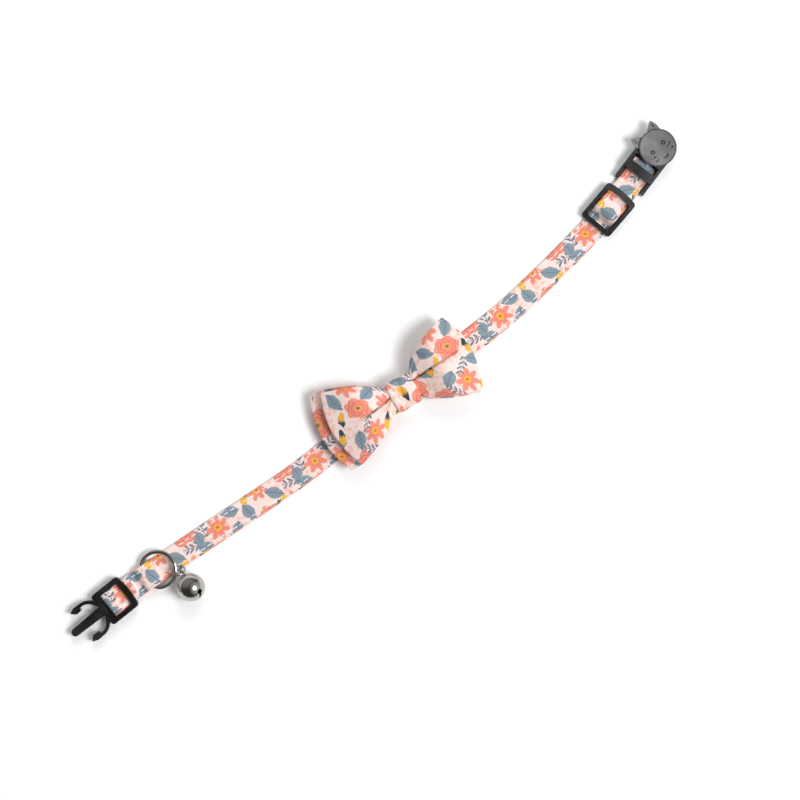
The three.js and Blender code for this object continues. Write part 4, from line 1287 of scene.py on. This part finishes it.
# The cat face's lighter grey is painted light for its upward tops, and its dark rim is painted shade.
FACE_RADIUS, FACE_PAST_BAR, FACE_SHADE_BAND, FACE_EDGE = 7.3, 9.1, 0.55, 0.05
face_middle = tuple((on_strap(STRAP_RUN + FACE_PAST_BAR, 0, 0) + CENTRED) * MM)
face_shade_ring = (face_middle, (FACE_RADIUS - FACE_SHADE_BAND) * MM, (FACE_RADIUS + FACE_EDGE) * MM)
painted_light_face = plastic("cat_face_painted_light", grey(0.095, 0.004), grey(0.2, 0.005), 0.45, face_shade_ring)
print("plastics:", [material.name for material in (black, painted_sheen_black, painted_light_face)])

# %% [markdown]
# Each moulded piece is a rounded copy in its plastic. On the clasp, the flat tops of the face and of
# the ears are found by their height and turned to the lighter grey, which is painted light on the
# upward tops, and the lines pressed into the face stay black. A painted dark rim of shade runs
# around the face's edge.

# %% Buckle half, slide and clasp
buckle = wear(rounded("male_buckle", "buckle_half", 0.42), black)
slide = wear(rounded("slide", "strap_slide", 0.5), painted_sheen_black)
clasp = wear(rounded("cat_clasp", "cat_face_clasp", 0.2, corner=50, segments=2), painted_sheen_black)
clasp.data.materials.append(painted_light_face)
face_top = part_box("cat_clasp")[1][2]
EAR_DROP, NEAR_TOP = 0.7 * MM, 0.06 * MM
# Painted light: the upward flat tops at the face's and ears' heights take the lighter grey.
for polygon in clasp.data.polygons:
    high = polygon.center.z
    level = min(abs(high - face_top), abs(high - face_top + EAR_DROP))
    if polygon.normal.z > 0.9 and level < NEAR_TOP:
        polygon.material_index = 1
for piece, node in ((buckle, "male_buckle"), (slide, "slide"), (clasp, "cat_clasp")):
    carry(piece, "black_plastic", node)

# %% [markdown]
# ## Rings and bell
#
# The D-ring and the small jump ring are bent, plated wire; the bell is pressed from thin sheet, so
# its shell shows a slightly wavy mirror. One round of subdivision turns each faceted wire round, and
# the loose ball inside the bell too. The bell itself only has its cut edges softened.

# %% Metal
def metal(name, tint, roughness, waviness):
    """Polished metal with faint haze. waviness is the depth of its dents, in millimetres."""
    material, g, shader = new_material(name)
    spot = g.spot()
    haze = g.noise(spot, 420, detail=4)
    dents = g.noise(spot, 240, detail=1)
    darker = tuple(c * 0.9 for c in tint[:3]) + (1,)
    g.plug(shader.inputs["Base Color"], g.blend(haze, darker, tint))
    g.plug(shader.inputs["Roughness"], g.ramp(haze, 0.35, 0.7, roughness, roughness + 0.1))
    g.plug(shader.inputs["Normal"], g.bump(dents, waviness * MM, 0.6))
    tune(shader, Metallic=1)
    return material


steel = metal("plated_steel", (0.5, 0.48, 0.46, 1), 0.14, 0.02)
nickel = metal("bell_nickel", (0.5, 0.48, 0.455, 1), 0.13, 0.06)


SHADE_ROUND = 70


def round_wire(node, name, grow):
    """A subdivided copy of an all-round solid, first grown by what the subdivision takes off."""
    obj = copy_of(node, name, flat_faces=False)
    puff = obj.modifiers.new("keep_size", "DISPLACE")
    puff.strength = grow * MM
    puff.mid_level = 0
    finer = obj.modifiers.new("finer", "SUBSURF")
    finer.levels = 1
    finer.render_levels = 1
    apply_all(obj)
    return smooth(obj, SHADE_ROUND)


d_ring = wear(round_wire("d_ring", "d_ring_wire", 0.05), steel)
jump_ring = wear(round_wire("bell_ring", "jump_ring_wire", 0.03), steel)
bell = wear(rounded("bell", "bell_shell", 0.08, corner=45, segments=2), nickel)
pea = wear(round_wire("bell_pea", "bell_ball", 0.06), steel)
carry(d_ring, "ring_steel", "d_ring")
carry(jump_ring, "ring_steel", "bell_ring")
carry(bell, "bell_nickel", "bell")
carry(pea, "bell_nickel", "bell_pea")

# %% [markdown]
# ## The elastic loop
#
# Behind the knot a short loop of ribbed white elastic holds the bow on the strap. Hardly any of it
# shows, so it stays the plain solid with soft edges, and its ribs are drawn in the material, as a bump
# with painted shade darkening the grooves between them.

# %% Elastic
ribbed, g, shader = new_material("white_elastic")
spot = g.spot()
ribs = g.add("ShaderNodeTexWave", wave_type="BANDS", bands_direction="X")
tune(ribs, Scale=420, Distortion=0.4)
g.plug(ribs.inputs["Vector"], spot)
# The darker bands are painted shade in the grooves between the ribs, beside their bump.
g.plug(shader.inputs["Base Color"], g.blend(ribs.outputs["Fac"], (0.74, 0.72, 0.69, 1), (0.9, 0.89, 0.86, 1)))
g.plug(shader.inputs["Normal"], g.bump(ribs.outputs["Fac"], 0.12 * MM, 0.7))
tune(shader, Roughness=0.85)
loop = carry(wear(rounded("bow_loop", "elastic_loop", 0.3), ribbed), "elastic", "bow_loop")

# %% [markdown]
# ## The cloths' flat sizes
#
# Each bow cloth's flat size, the size it was cut to, is printed with its area. The strap lies on the
# table, the bow's two layers are gathered over the elastic, and the knot is folded around them.

# %% Cloths
def cut_area(obj):
    """Half the skin of a thin walled piece, in square metres."""
    return sum(polygon.area for polygon in obj.data.polygons) / 2


for obj, wide, long in ((bow_front, BOW_HEIGHT, front_run), (bow_back, BACK_HEIGHT, back_run)):
    print(obj.name, "flat", wide, round(long, 1), "area", round(cut_area(obj) / MM ** 2), "mm2")
print("knot", round(knot_run, 1), "area", round(cut_area(knot) / MM ** 2), "mm2")
